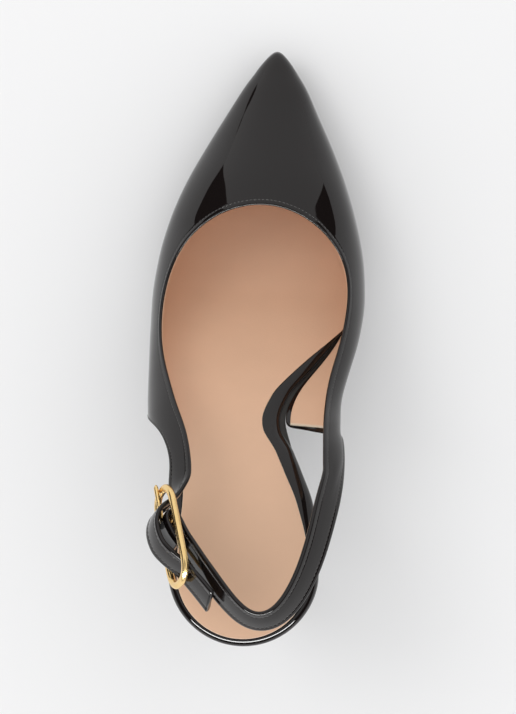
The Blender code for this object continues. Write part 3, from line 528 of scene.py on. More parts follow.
def strapGrid(route, ups, spacing, runs=0):
    # The strap's outer face: across a smooth middle line, from its lower edge to its upper edge.
    # The line's first runs are eased, and that fades out before the loop round the bar.
    line = dense(route)
    if runs:
        free = 1.0 - step(curveSteps * (runs - 1), curveSteps * (runs + 1.5), np.arange(len(line)))
        line = eased(line, strap["ease"], free[:, None])
    length = walked(line)
    wanted = np.concatenate(([0.0], np.cumsum(spacing(length[-1]))))
    wanted *= length[-1] / wanted[-1]
    middle = sampled(line, length, wanted)
    turns = sampled(dense(ups), length, wanted)
    ahead = unit(np.gradient(middle, axis=0))
    up = unit(turns - ahead * np.sum(turns * ahead, axis=1, keepdims=True))
    out = np.cross(up, ahead)
    width = np.full(len(middle), strap["width"])
    across = rowDistances(width) - width[:, None] / 2.0
    face = middle + out * strap["thickness"] / 2.0
    return face[:, None, :] + up[:, None, :] * across[:, :, None]


def wingJoin(end, ahead):
    # Where a strap's middle line meets the wing's end rib, and that rib's upward direction
    middle = rows["middle"]
    up = upperGrid[end, -1] - upperGrid[end, 0]
    out = unit(np.cross(up, ahead))
    return upperGrid[end, middle] - out * strap["thickness"] / 2.0, unit(up)


def tailSpacing(total):
    return np.full(int(total / strap["tailStep"]), strap["tailStep"])


# Outer side: from the short strap's end over the centre bar to the outer wing's end rib
wingEnd, wingUp = wingJoin(0, upperGrid[2, rows["middle"]] - upperGrid[0, rows["middle"]])
tailRoute = np.vstack((inBuckle(tailTurns[::-1]), wingEnd))
tailUps = np.vstack(([buckleAcross] * len(tailTurns), wingUp))
tailGrid = strapGrid(tailRoute, tailUps, tailSpacing)

# Inner side: from the inner wing's end rib round the heel to the loop on the centre bar
wingEnd, wingUp = wingJoin(-1, upperGrid[-1, rows["middle"]] - upperGrid[-3, rows["middle"]])
lean = np.radians(sling["lean"])
turn = np.radians(sling["turn"])
slingUps = np.stack((np.sin(lean) * np.cos(turn), -np.sin(lean) * np.sin(turn), np.cos(lean)), axis=1)
slingHeight = bottomHeight(sling["at"]) + last["instep"] * sling["rise"]
slingRoute = np.vstack((wingEnd, toModel(sling["side"] * last["ball"], sling["at"], slingHeight),
                        inBuckle(slingLoop)))
slingUps = np.vstack((wingUp, slingUps, [buckleAcross] * len(slingLoop)))


def slingSpacing(total):
    # Wider steps on the long run, close ones on the loop round the bar
    run = np.full(int((total - strap["loopLength"]) / strap["runStep"]), strap["runStep"])
    loop = np.full(int(strap["loopLength"] / strap["loopStep"]), strap["loopStep"])
    return np.concatenate((run, loop))


slingGrid = strapGrid(slingRoute, slingUps, slingSpacing, len(sling["at"]))
whole = np.concatenate((tailGrid[:-1], upperGrid, slingGrid[1:]))
first = len(tailGrid) - 1
final = first + len(upperGrid)
print("stage: the straps join the wings, ribs", first, final, len(whole))

# Ease the joins between wings and straps, and the form between table rows, but not the toe's tip
foot = whole[:, 0, 1] / last["length"] + 0.5
index = np.arange(len(whole))
join = sum(np.exp(-(((index - end) / easing["joinRibs"]) ** 2)) for end in (first, final))
inUpper = (index > first) & (index < final)
awayFromTip = 1.0 - step(easing["tipFrom"], easing["tipFull"], foot)
plain = easing["formWeight"] * inUpper * awayFromTip + easing["strapWeight"] * ~inUpper
whole = eased(whole, easing["ribs"], np.clip(join + plain, 0.0, 1.0)[:, None, None])

# The stitched bands by the open edges stand up a little, with a groove under the thread
trim = {
    "band": 0.0021,
    "stand": 0.09,
    "soft": 0.00020,
    "stitchAt": 0.0015,
    "groove": 0.00010,
    "grooveWide": 0.00035,
    "puff": 0.00022,
}


def bandRise(distance):
    # stand * soft * ln(1 + e^((band - d) / soft)), less a groove by the thread
    inside = np.clip((trim["band"] - distance) / trim["soft"], -40, 40)
    rise = trim["stand"] * trim["soft"] * np.log1p(np.exp(inside))
    offThread = (distance - trim["stitchAt"]) / trim["grooveWide"]
    return rise - trim["groove"] * np.exp(-(offThread**2))


def normals(grid):
    # Square to both directions of the grid: up the rib and along the shoe
    up = np.gradient(grid, axis=1)
    along = np.gradient(grid, axis=0)
    return unit(np.cross(up, along))


# 1 where a rib's lower edge is open, and 1 where it is a strap's
ribOpen = np.concatenate((np.ones(first), step(0.0, 0.5, ribLevel), np.ones(len(whole) - final)))
ribStrap = np.concatenate((np.ones(first), np.zeros(final - first), np.ones(len(whole) - final)))
ribStrap = eased(ribStrap, easing["strapMark"])
fromLow, fromTop = edgeDistances(whole)
lift = bandRise(fromTop) + ribOpen[:, None] * bandRise(fromLow)
share = fromLow / (fromLow + fromTop)
lift = lift + trim["puff"] * ribStrap[:, None] * (4.0 * share * (1.0 - share)) ** 2
outerFace = whole + normals(whole) * lift[:, :, None]
outerNormals = normals(outerFace)


# Meshes
def addMesh(name, points, faces):
    mesh = bpy.data.meshes.new(name)
    points = np.asarray(points, dtype=np.float32)
    mesh.vertices.add(len(points))
    mesh.vertices.foreach_set("co", points.ravel())
    corners = np.concatenate([np.asarray(block).ravel() for block in faces]).astype(np.int32)
    totals = np.concatenate([np.full(len(block), np.asarray(block).shape[1]) for block in faces])
    starts = np.concatenate(([0], np.cumsum(totals)[:-1])).astype(np.int32)
    mesh.loops.add(len(corners))
    mesh.loops.foreach_set("vertex_index", corners)
    mesh.polygons.add(len(totals))
    mesh.polygons.foreach_set("loop_start", starts)
    mesh.update(calc_edges=True)
    mesh.validate()
    mesh.shade_smooth()
    return mesh


def mark(mesh, name, values):
    layer = mesh.attributes.new(name, "FLOAT", "POINT")
    layer.data.foreach_set("value", np.asarray(values, dtype=np.float32).ravel())


def tubeFaces(count, around, closed=False):
    # Quads between rings of points, facing outwards where a ring runs clockwise seen from its start
    ring = np.arange(count if closed else count - 1)[:, None]
    part = np.arange(around)[None, :]
    following = (ring + 1) % count
    after = (part + 1) % around
    quads = np.stack((ring * around + part, following * around + part,
                      following * around + after, ring * around + after), axis=-1)
    return quads.reshape(-1, 4)


def ringMesh(name, rings, closed=False, anticlockwise=False):
    # A tube through rings of points, closed to a loop or with a flat end on each side
    count, around = rings.shape[:2]
    faces = [tubeFaces(count, around, closed)]
    if not closed:
        faces.append(np.arange(around)[None, :])
        faces.append((count - 1) * around + np.arange(around)[None, ::-1])
    if anticlockwise:
        faces = [block[:, ::-1] for block in faces]
    return addMesh(name, rings.reshape(-1, 3), faces)


def linked(name, data):
    thing = bpy.data.objects.new(name, data)
    bpy.context.scene.collection.objects.link(thing)
    return thing


def shown(name, mesh, material, nodes=()):
    piece = linked(name, mesh)
    piece.data.materials.append(material)
    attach(piece, "root")
    if nodes:
        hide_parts(*nodes)


# Materials
def newMaterial(name, color, roughness, metallic=0.0, coat=0.0, coatRough=0.03, level=0.5):
    material = bpy.data.materials.new(name)
    material.use_nodes = True
    nodes = material.node_tree.nodes
    shader = nodes["Principled BSDF"]
    shader.inputs["Base Color"].default_value = (*color, 1.0)
    shader.inputs["Roughness"].default_value = roughness
    shader.inputs["Metallic"].default_value = metallic
    shader.inputs["Coat Weight"].default_value = coat
    shader.inputs["Coat Roughness"].default_value = coatRough
    shader.inputs["Specular IOR Level"].default_value = level
    return material, nodes, material.node_tree.links, shader


def place(nodes):
    return nodes.new("ShaderNodeTexCoord").outputs["Object"]


def noise(nodes, links, where, scale, detail, rough):
    texture = nodes.new("ShaderNodeTexNoise")
    texture.inputs["Scale"].default_value = scale
    texture.inputs["Detail"].default_value = detail
    texture.inputs["Roughness"].default_value = rough
    links.new(where, texture.inputs["Vector"])
    return texture.outputs["Fac"]


def bump(nodes, links, height, distance, strength, under=None):
    node = nodes.new("ShaderNodeBump")
    node.inputs["Distance"].default_value = distance
    node.inputs["Strength"].default_value = strength
    links.new(height, node.inputs["Height"])
    if under is not None:
        links.new(under, node.inputs["Normal"])
    return node.outputs["Normal"]


def ramp(nodes, links, value, stops):
    node = nodes.new("ShaderNodeValToRGB")
    node.color_ramp.elements.remove(node.color_ramp.elements[1])
    for index, (position, color) in enumerate(stops):
        element = node.color_ramp.elements[0] if index == 0 else node.color_ramp.elements.new(position)
        element.position = position
        element.color = (*color, 1.0)
    links.new(value, node.inputs["Fac"])
    return node.outputs["Color"]


def attribute(nodes, name):
    node = nodes.new("ShaderNodeAttribute")
    node.attribute_name = name
    return node.outputs["Fac"]


def blendColor(nodes, links, factor, base, over):
    node = nodes.new("ShaderNodeMix")
    node.data_type = "RGBA"
    links.new(factor, node.inputs["Factor"])
    for socket, color in ((node.inputs["A"], base), (node.inputs["B"], over)):
        if isinstance(color, tuple):
            socket.default_value = (*color, 1.0)
        else:
            links.new(color, socket)
    return node.outputs["Result"]


lacquer = {
    "color": (0.0075, 0.0056, 0.0054),
    "roughness": 0.40,
    "coatRough": 0.028,
    "coatIor": 1.42,
    "rippleScale": 55.0,
    "rippleDepth": 0.00016,
    "peelScale": 900.0,
    "peelDepth": 0.0000018,
}


def patentMaterial(name):
    # Black lacquer under a clear coat: slow ripples bend its reflections, fine peel breaks them up
    material, nodes, links, shader = newMaterial(
        name, lacquer["color"], lacquer["roughness"], 0.0, 1.0, lacquer["coatRough"], 0.0)
    shader.inputs["Coat IOR"].default_value = lacquer["coatIor"]
    where = place(nodes)
    ripple = noise(nodes, links, where, lacquer["rippleScale"], 1.0, 0.4)
    peel = noise(nodes, links, where, lacquer["peelScale"], 2.0, 0.5)
    waved = bump(nodes, links, ripple, lacquer["rippleDepth"], 1.0)
    peeled = bump(nodes, links, peel, lacquer["peelDepth"], 1.0, waved)
    links.new(peeled, shader.inputs["Normal"])
    links.new(peeled, shader.inputs["Coat Normal"])
    return material


# Scales of the leather's clouds, pores and grain, depths in metres
hide = {
    "cloudScale": 45.0,
    "darker": 0.975,
    "lighter": 1.02,
    "poreScale": 1500.0,
    "poreDepth": 0.00003,
    "grainScale": 700.0,
    "grainDepth": 0.00004,
    "strength": 0.6,
}


def leatherMaterial(name, base, edge, roughness):
    # Fine grained leather with faint clouds of colour. The edge argument is a pale colour painted where
    # the edge attribute is set: a painted highlight along the cut edges.
    material, nodes, links, shader = newMaterial(name, base, roughness, 0.0, 0.0, 0.03, 0.35)
    where = place(nodes)
    cloud = noise(nodes, links, where, hide["cloudScale"], 3.0, 0.55)
    darker = tuple(value * hide["darker"] for value in base)
    lighter = tuple(min(value * hide["lighter"], 1.0) for value in base)
    tone = ramp(nodes, links, cloud, ((0.3, darker), (0.7, lighter)))
    # Painted highlight: the pale colour is blended in along the marked cut edges
    toned = blendColor(nodes, links, attribute(nodes, "edge"), tone, edge)
    links.new(toned, shader.inputs["Base Color"])
    cells = nodes.new("ShaderNodeTexVoronoi")
    cells.inputs["Scale"].default_value = hide["poreScale"]
    links.new(where, cells.inputs["Vector"])
    pored = bump(nodes, links, cells.outputs["Distance"], hide["poreDepth"], hide["strength"])
    grain = noise(nodes, links, where, hide["grainScale"], 3.0, 0.6)
    grained = bump(nodes, links, grain, hide["grainDepth"], hide["strength"], pored)
    links.new(grained, shader.inputs["Normal"])
    return material


plate = {
    "color": (0.87, 0.62, 0.28),
    "deeper": (0.86, 0.60, 0.26),
    "paler": (0.90, 0.65, 0.30),
    "smoothest": 0.20,
    "roughest": 0.28,
    "driftScale": 260.0,
    "fineScale": 2600.0,
    "fineDepth": 0.000003,
}


def goldMaterial():
    # Pale gold plate, softly polished: its colour and roughness drift and a fine texture dulls it
    roughness = (plate["smoothest"] + plate["roughest"]) / 2.0
    material, nodes, links, shader = newMaterial("goldPlate", plate["color"], roughness, 1.0)
    where = place(nodes)
    drift = noise(nodes, links, where, plate["driftScale"], 3.0, 0.6)
    tone = ramp(nodes, links, drift, ((0.3, plate["deeper"]), (0.7, plate["paler"])))
    links.new(tone, shader.inputs["Base Color"])
    polish = nodes.new("ShaderNodeMapRange")
    polish.inputs["To Min"].default_value = plate["smoothest"]
    polish.inputs["To Max"].default_value = plate["roughest"]
    links.new(drift, polish.inputs["Value"])
    links.new(polish.outputs["Result"], shader.inputs["Roughness"])
    fine = noise(nodes, links, where, plate["fineScale"], 2.0, 0.5)
    links.new(bump(nodes, links, fine, plate["fineDepth"], 0.5), shader.inputs["Normal"])
    return material


def plainMaterial(name, finish):
    # One colour that drifts from dark to light, under a fine grain
    dark = finish["dark"]
    material, nodes, links, shader = newMaterial(name, dark, finish["roughness"], 0.0, 0.0, 0.03, 0.4)
    where = place(nodes)
    drift = noise(nodes, links, where, finish["driftScale"], 4.0, 0.6)
    tone = ramp(nodes, links, drift, ((0.3, dark), (0.7, finish["light"])))
    links.new(tone, shader.inputs["Base Color"])
    grain = noise(nodes, links, where, finish["grainScale"], 3.0, 0.6)
    links.new(bump(nodes, links, grain, finish["grainDepth"], 0.7), shader.inputs["Normal"])
    return material


patent = patentMaterial("blackPatent")
tan = (0.725, 0.465, 0.312)
# A pale colour painted on the leather's cut edges as a highlight
cutEdgeHighlight = (0.800, 0.690, 0.540)
liningLeather = leatherMaterial("liningLeather", tan, cutEdgeHighlight, 0.48)
sockLeather = leatherMaterial("sockLeather", tan, cutEdgeHighlight, 0.42)
soleLeather = plainMaterial("soleLeather", {
    "dark": (0.018, 0.017, 0.016), "light": (0.030, 0.028, 0.026), "roughness": 0.42,
    "driftScale": 60.0, "grainScale": 900.0, "grainDepth": 0.00003})
tipRubber = plainMaterial("tipRubber", {
    "dark": (0.014, 0.014, 0.014), "light": (0.024, 0.024, 0.024), "roughness": 0.62,
    "driftScale": 180.0, "grainScale": 1500.0, "grainDepth": 0.00004})
threadBlack = plainMaterial("blackThread", {
    "dark": (0.035, 0.033, 0.032), "light": (0.075, 0.072, 0.070), "roughness": 0.38,
    "driftScale": 3000.0, "grainScale": 6000.0, "grainDepth": 0.00002})
gold = goldMaterial()
print("stage: materials made")


# The patent skin: the outer face, a roll over each edge and a back face
def rolledTube(face, normal, thickness, backRows, turns):
    # Edge roll: centre + r (cos t n + sin t e), t from 0 to 180 degrees, e out of the edge
    thickness = np.broadcast_to(thickness, (len(face), 1, 1))
    back = face - normal * thickness
    pieces = [face]
    turn = (np.arange(1, turns + 1) / (turns + 1.0) * math.pi)[None, :, None]
    for edge, inner, ordering in ((-1, -2, 1.0), (0, 1, -1.0)):
        n = normal[:, edge]
        e = unit(face[:, edge] - face[:, inner])
        e = unit(e - n * np.sum(e * n, axis=1, keepdims=True))
        centre = (face[:, edge] + back[:, edge]) / 2.0
        swing = ordering * np.cos(turn) * n[:, None, :] + np.sin(turn) * e[:, None, :]
        pieces.append(centre[:, None, :] + thickness / 2.0 * swing)
        if ordering > 0:
            pieces.append(back[:, backRows][:, ::-1])
    return np.concatenate(pieces, axis=1)


# Rows of the back face: every second or third row near both edges and every fourth between them
skinSize = {"upper": 0.0012, "rollPoints": 5, "rowStep": 4}
thickness = skinSize["upper"] + (strap["thickness"] - skinSize["upper"]) * ribStrap
across = whole.shape[1]
backRows = np.unique(np.concatenate(([0, 2, 5, 8], np.arange(10, across - 12, skinSize["rowStep"]),
                                     across - np.array([12, 9, 6, 3, 1]))))
rings = rolledTube(outerFace, outerNormals, thickness[:, None, None], backRows, skinSize["rollPoints"])
skinMesh = ringMesh("patentSkin", rings, anticlockwise=True)
shown("patentUpper", skinMesh, patent, ("upper", "sling_strap", "buckle_strap"))
print("stage: patent skin,", rings.shape[0], "ribs of", rings.shape[1], "points")


# The tan lining inside the upper, with straight cut back edges. It ends two rows under the topline.
# in: how far its outer face lies inside the patent's. level: the rib's foot, as in the wings' tables.
lining = {
    "medialFrom": 0.351,
    "lateralFrom": 0.366,
    "level": 0.12,
    "thickness": 0.0006,
    "in": 0.00115,
    "ribs": 60,
    "rollPoints": 3,
    "rowsUnderTop": 2,
}


def liningSide(start):
    # Shares of the length at one side's ribs, from the cut edge to where the toe's nose begins
    beside = start + (fan["at"] - start) * np.linspace(0.0, 1.0, lining["ribs"], endpoint=False)
    return np.concatenate((beside, np.linspace(fan["at"], noseStart, lining["ribs"])))


lateralAt = liningSide(lining["lateralFrom"])
medialAt = liningSide(lining["medialFrom"])
liningAt = np.concatenate((lateralAt, medialAt[::-1]))
liningSign = np.concatenate((-np.ones(len(lateralAt)), np.ones(len(medialAt))))
liningLevel = np.full(len(liningAt), lining["level"])
liningGrid = skin(liningAt, liningLevel, liningAt, liningSign, shares)
liningGrid = evenRows(np.swapaxes(eased(np.swapaxes(liningGrid, 0, 1), easing["rows"]), 0, 1))
liningPlain = easing["formWeight"] * (1.0 - step(easing["tipFrom"], easing["tipFull"], liningAt))
liningGrid = eased(liningGrid, easing["ribs"], liningPlain[:, None, None])
_, liningTop = edgeDistances(liningGrid)
liningGrid = liningGrid + normals(liningGrid) * bandRise(liningTop)[:, :, None]
liningNormals = normals(liningGrid)
keep = np.arange(0, liningGrid.shape[1] - lining["rowsUnderTop"])
liningFace = (liningGrid - liningNormals * lining["in"])[:, keep]
rings = rolledTube(liningFace, liningNormals[:, keep], lining["thickness"], keep, lining["rollPoints"])
liningMesh = ringMesh("lining", rings, anticlockwise=True)
# The lining's back cut edges are marked for the painted highlight
cut = np.zeros(rings.shape[:2])
cut[[0, -1]] = 1.0
mark(liningMesh, "edge", cut)
shown("liningSheet", liningMesh, liningLeather)
print("stage: lining")


# Plates that follow the last's bottom. stations: points on each side of a ring. nearEnd: angle
# that keeps the first and the last station off the ring's very ends.
plates = {"stations": 260, "nearEnd": 0.004}


def plateRing(start, tip, inset, widthAt, backRound, toeRound):
    # Half width less the inset, closed by quarter ellipses: w sqrt(1 - ((round - s) / round)^2)
    turn = np.linspace(plates["nearEnd"], math.pi - plates["nearEnd"], plates["stations"])
    along = start + (tip - start) * 0.5 * (1.0 - np.cos(turn))
    at = along / last["length"]
    close = np.ones(plates["stations"])
    if backRound > 0.0:
        close = close * roundEnd(start + backRound - along, backRound)
    close = close * roundEnd(along - (tip - toeRound), toeRound)
    lateral = np.maximum(widthAt(at, -1.0) - inset(at, -1.0), 0.0) * close
    medial = np.maximum(widthAt(at, 1.0) - inset(at, 1.0), 0.0) * close
    side = np.concatenate((-lateral, medial[::-1]))
    return side, np.concatenate((at, at[::-1]))


def plateMesh(name, levels, ringAt, heightAt, across=10):
    # Rings from the lower face's rim to the upper face's rim, then rows across both faces
    blocks = []
    for inset, height in levels:
        side, at = ringAt(inset)
        blocks.append(toModel(side, at, heightAt(side, at, height)))
    rings = np.stack(blocks)
    around = rings.shape[1]
    half = around // 2
    faces = [tubeFaces(len(rings), around)]
    points = [rings.reshape(-1, 3)]
    offset = len(rings) * around
    for level, (inset, height) in ((0, levels[0]), (len(rings) - 1, levels[-1])):
        side, at = ringAt(inset)
        left = side[:half]
        right = side[half:][::-1]
        part = (np.arange(1, across) / across)[None, :]
        rowSide = left[:, None] + (right - left)[:, None] * part
        rowAt = np.broadcast_to(at[:half, None], rowSide.shape)
        points.append(toModel(rowSide, rowAt, heightAt(rowSide, rowAt, height)).reshape(-1, 3))
        start = level * around
        first = start + np.arange(half)[:, None]
        second = start + around - 1 - np.arange(half)[:, None]
        inner = offset + np.arange(half * (across - 1)).reshape(half, across - 1)
        table = np.concatenate((first, inner, second), axis=1)
        corners = (table[:-1, :-1], table[:-1, 1:], table[1:, 1:], table[1:, :-1])
        quads = np.stack(corners, axis=-1).reshape(-1, 4)
        faces.append(quads[:, ::-1] if level == 0 else quads)
        for row, flip in ((table[0], level != 0), (table[-1], level == 0)):
            faces.append(row[None, ::-1] if flip else row[None, :])
        offset += half * (across - 1)
    return addMesh(name, np.concatenate(points), faces)


# The insole board wrapped in patent, a little hollow along its middle
insole = {
    "thickness": 0.0048,
    "edge": 0.0006,
    "lap": 0.0004,
    "dish": 0.0007,
    "back": 0.00002,
    "lateralWing": 0.363,
    "medialWing": 0.355,
    "wingStep": 0.045,
    "wingEnd": 0.006,
    "snug": 0.0007,
    "fillFrom": 0.465,
    "fillFull": 0.575,
    "toeIn": 0.0053,
    "toeRound": 0.0090,
}


def insoleWidth(at, sign, height):
    # Behind the wings the last's own width. Between them the board fills the upper at its own
    # height: out = sin(level 90)^tuck, where down = cos(level 90)^tuck is read from the height.
    wing = insole["lateralWing"] if sign < 0 else insole["medialWing"]
    inside = step(wing - insole["wingStep"], wing - insole["wingEnd"], at)
    fill = inside if sign < 0 else step(insole["fillFrom"], insole["fillFull"], at)
    high = last["instep"] * bySide(form, sign, at, "Up")
    down = np.clip((high - height) / (high - last["gap"]), 0.0, 1.0) ** (1.0 / tuck)
    out = np.sqrt(1.0 - down**2) ** tuck
    wide = last["ball"] * bySide(form, sign, at)
    plain = plainWidth(at, sign)
    clear = last["wall"] + 2.0 * last["gap"]
    return plain - inside * clear + fill * ((wide - plain) * out + insole["snug"])


# The sock lies in from the insole's edge, and the patent rim falls away in the strip left bare.
# backIn and the table's widths: shares of the instep. toe: share of the length. highlightRings and
# highlightTone: how many rings from below, the sock's cut edge, get a painted highlight, and how much.
sock = {
    "thickness": 0.0007,
    "sunk": 0.0001,
    "backIn": 0.060,
    "toe": 0.965,
    "toeRound": 0.0070,
    "ease": 0.0003,
    "rowsAcross": 24,
    "highlightRings": 4,
    "highlightTone": 0.8,
}
sockInset = named("at lateral medial", [
    (0.000, 0.060, 0.060),
    (0.150, 0.075, 0.075),
    (0.240, 0.097, 0.118),
    (0.300, 0.100, 0.128),
    (0.345, 0.070, 0.130),
    (0.385, 0.020, 0.128),
    (0.430, 0.010, 0.124),
    (0.470, 0.010, 0.092),
    (0.500, 0.010, 0.052),
    (0.526, 0.010, 0.018),
    (0.560, 0.010, 0.010),
    (1.000, 0.010, 0.010),
])


def bareStrip(at, sign):
    return last["instep"] * bySide(sockInset, sign, at)


def insoleRing(share):
    # share is how far across the bare strip the rim's ring lies. The rim is a quarter ellipse, so
    # its height there is edge + (thickness - edge) sqrt(1 - (1 - share)^2).
    inset = (bareStrip(0.0, 1.0) + insole["lap"]) * share
    rounded = (insole["thickness"] - insole["edge"]) * math.sqrt(1.0 - (1.0 - share) ** 2)
    rise = last["gap"] + insole["edge"] + rounded
    return plateRing(inset + insole["back"], last["length"] - insole["toeIn"] - inset,
                     lambda at, sign: (bareStrip(at, sign) + insole["lap"]) * share,
                     lambda at, sign: insoleWidth(at, sign, rise),
                     last["seatRound"] - inset, insole["toeRound"] - inset)


def hollow(side, at):
    # dish * (1 - (x / w)^2), 0 at the rim
    width = plainWidth(at, side)
    return insole["dish"] * (1.0 - np.clip(np.abs(side) / width, 0.0, 1.0) ** 2)


def insoleHeight(side, at, height):
    upper = step(0.0, insole["thickness"], height)
    return bottomHeight(at) + height - hollow(side, at) * upper


# Rings of the rim, from two on the underside up its quarter ellipse
levels = [(0.12, last["gap"]), (0.03, last["gap"] + 0.0001)]
for turn in np.linspace(0.0, math.pi / 2.0, 14):
    rounded = (insole["thickness"] - insole["edge"]) * math.sin(turn)
    levels.append((1.0 - math.cos(turn), last["gap"] + insole["edge"] + rounded))
insoleMesh = plateMesh("insole", levels, insoleRing, insoleHeight)
shown("footbed", insoleMesh, patent, ("insole",))


# The sock
def sockRing(inset):
    start = last["instep"] * sock["backIn"] + inset
    return plateRing(start, last["length"] * sock["toe"] - inset,
                     lambda at, sign: inset + bareStrip(at, sign),
                     lambda at, sign: insoleWidth(at, sign, last["gap"] + insole["thickness"]),
                     last["seatRound"] - start, sock["toeRound"])


def sockHeight(side, at, height):
    return bottomHeight(at) + height - hollow(side, at)


base = last["gap"] + insole["thickness"] - sock["sunk"]
levels = [(0.0, base)]
for turn in np.linspace(0.0, math.pi / 2.0, 6):
    levels.append((sock["ease"] * (1.0 - math.cos(turn)),
                   base + sock["thickness"] - sock["ease"] * (1.0 - math.sin(turn))))
sockMesh = plateMesh("sock", levels, sockRing, sockHeight, sock["rowsAcross"])
# Painted highlight: the sock's lowest rings, its cut edge, get the pale colour
edgeHighlightMark = np.zeros(len(sockMesh.vertices))
edgeHighlightMark[:2 * plates["stations"] * sock["highlightRings"]] = sock["highlightTone"]
mark(sockMesh, "edge", edgeHighlightMark)
shown("sockSheet", sockMesh, sockLeather, ("sock",))
print("stage: footbed and sock")

# The outsole from the toe to the heel's breast
outsole = {"edgeIn": 0.0004, "bevel": 0.0008, "breast": 0.0500}


def outsoleRing(inset):
    tip = last["length"] - last["toeTuck"] - inset
    return plateRing(outsole["breast"] + inset * 0.5, tip, lambda at, sign: inset, plainWidth, 0.0,
                     last["toeRound"] - inset)


depth = last["sole"]
levels = []
for turn in np.linspace(0.0, math.pi / 2.0, 5):
    levels.append((outsole["edgeIn"] + outsole["bevel"] * (1.0 - math.sin(turn)),
                   -depth + outsole["bevel"] * (1.0 - math.cos(turn))))
levels.append((outsole["edgeIn"], -depth * 0.5))
levels.append((outsole["edgeIn"], -0.0002))
levels.append((outsole["edgeIn"] + 0.0002, 0.0))
outsoleMesh = plateMesh("outsole", levels, outsoleRing,
                        lambda side, at, height: bottomHeight(at) + height)
shown("outsoleSheet", outsoleMesh, soleLeather, ("outsole",))

# The slim covered heel. at: share of the way up. length, width and back: shares of the way from the
# tip's length, width and back end to the seat's.
heel = named("at length width back", [
    (0.00, 0.000, 0.000, 0.00),
    (0.15, 0.012, 0.012, 0.00),
    (0.35, 0.045, 0.055, 0.05),
    (0.52, 0.110, 0.130, 0.15),
    (0.67, 0.220, 0.250, 0.32),
    (0.80, 0.390, 0.430, 0.54),
    (0.91, 0.650, 0.690, 0.79),
    (1.00, 1.000, 1.000, 1.00),
])
heelSize = {
    "in": 0.0010,
    "tipBack": 0.0100,
    "tipLength": 0.0125,
    "tipWidth": 0.0125,
    "tip": 0.0055,
    "rings": 110,
    "around": 240,
}


def heelOutline():
    # The seat's outline in from its edge, closed by a straight breast with eased corners
    inset = heelSize["in"]
    turn = np.linspace(plates["nearEnd"], math.pi / 2.0, 120)
    along = inset + (outsole["breast"] - last["gap"] - inset) * (1.0 - np.cos(turn))
    at = along / last["length"]
    close = roundEnd(last["seatRound"] - along, last["seatRound"] - inset)
    lateral = (plainWidth(at, -1.0) - inset) * close
    medial = (plainWidth(at, 1.0) - inset) * close
    front = np.linspace(-lateral[-1], medial[-1], 60)[1:-1]
    side = np.concatenate((-lateral, front, medial[::-1]))
    along = np.concatenate((along, np.full(len(front), along[-1]), along[::-1]))
    ring = np.stack((side, along), axis=1)
    closedRing = np.vstack((ring, ring[:1]))
    length = walked(closedRing)
    ring = sampled(closedRing, length, np.linspace(0.0, length[-1], heelSize["around"], endpoint=False))
    return eased(ring, easing["heelOutline"], 1.0, True)


def heelRings(shareUp):
    # The seat's outline, shrunk and moved as the table says at each share of the way up
    ring = heelOutline()
    side = ring[:, 0][None, :]
    along = ring[:, 1][None, :]
    back = along.min()
    seatLength = along.max() - back
    seatWidth = side.max() - side.min()
    middle = (side.max() + side.min()) / 2.0
    up = np.asarray(shareUp, dtype=float)[:, None]
    newLength = heelSize["tipLength"] + (seatLength - heelSize["tipLength"]) * read(heel, "length", up)
    newWidth = heelSize["tipWidth"] + (seatWidth - heelSize["tipWidth"]) * read(heel, "width", up)
    newBack = heelSize["tipBack"] + (back - heelSize["tipBack"]) * read(heel, "back", up)
    top = bottomHeight(along / last["length"]) - last["gap"]
    height = heelSize["tip"] + (top - heelSize["tip"]) * up
    newSide = middle + (side - middle) * newWidth / seatWidth
    newAlong = newBack + (along - back) * newLength / seatLength
    return toModel(newSide, newAlong / last["length"], height)


heelForm = eased(heelRings(np.linspace(0.0, 1.0, heelSize["rings"])), easing["heelRings"])
shown("heelBlock", ringMesh("heel", heelForm), patent, ("heel",))

# The top piece: the heel's lowest outline, at each level's share of its size
tipLevels = named("share height", [
    (0.950, 0.0),
    (0.985, 0.00008),
    (1.000, 0.00035),
    (1.000, 0.0030),
    (1.000, 0.0049),
    (0.985, 0.0052),
])
tipRing = heelRings([0.0])[0]
tipMiddle = tipRing[:, :2].mean(axis=0)
tipRings = np.stack([
    np.column_stack((tipMiddle + (tipRing[:, :2] - tipMiddle) * share, np.full(len(tipRing), height)))
    for share, height in zip(tipLevels["share"], tipLevels["height"])])
shown("topPiece", ringMesh("topPiece", tipRings), tipRubber, ("top_piece",))
print("stage: outsole, heel and top piece")


# The buckle: a frame of flattened bar, its centre bar and the prong
def sweep(path, up, wide, thick, closed, power, sides=20):
    # Section: (wide |cos t|^(2/power), thick |sin t|^(2/power)) with the signs of cos and sin
    if closed:
        ahead = unit(np.roll(path, -1, axis=0) - np.roll(path, 1, axis=0))
    else:
        ahead = unit(np.gradient(path, axis=0))
    up = np.broadcast_to(np.asarray(up, dtype=float), path.shape)
    up = unit(up - ahead * np.sum(up * ahead, axis=1, keepdims=True))
    side = np.cross(ahead, up)
    turn = np.linspace(0.0, 2.0 * math.pi, sides, endpoint=False)
    x = np.sign(np.cos(turn)) * np.abs(np.cos(turn)) ** (2.0 / power)
    y = np.sign(np.sin(turn)) * np.abs(np.sin(turn)) ** (2.0 / power)
    wide = np.broadcast_to(wide, len(path))[:, None, None] / 2.0
    thick = np.broadcast_to(thick, len(path))[:, None, None] / 2.0
    sideways = side[:, None, :] * x[None, :, None] * wide
    upwards = up[:, None, :] * y[None, :, None] * thick
    return path[:, None, :] + sideways + upwards


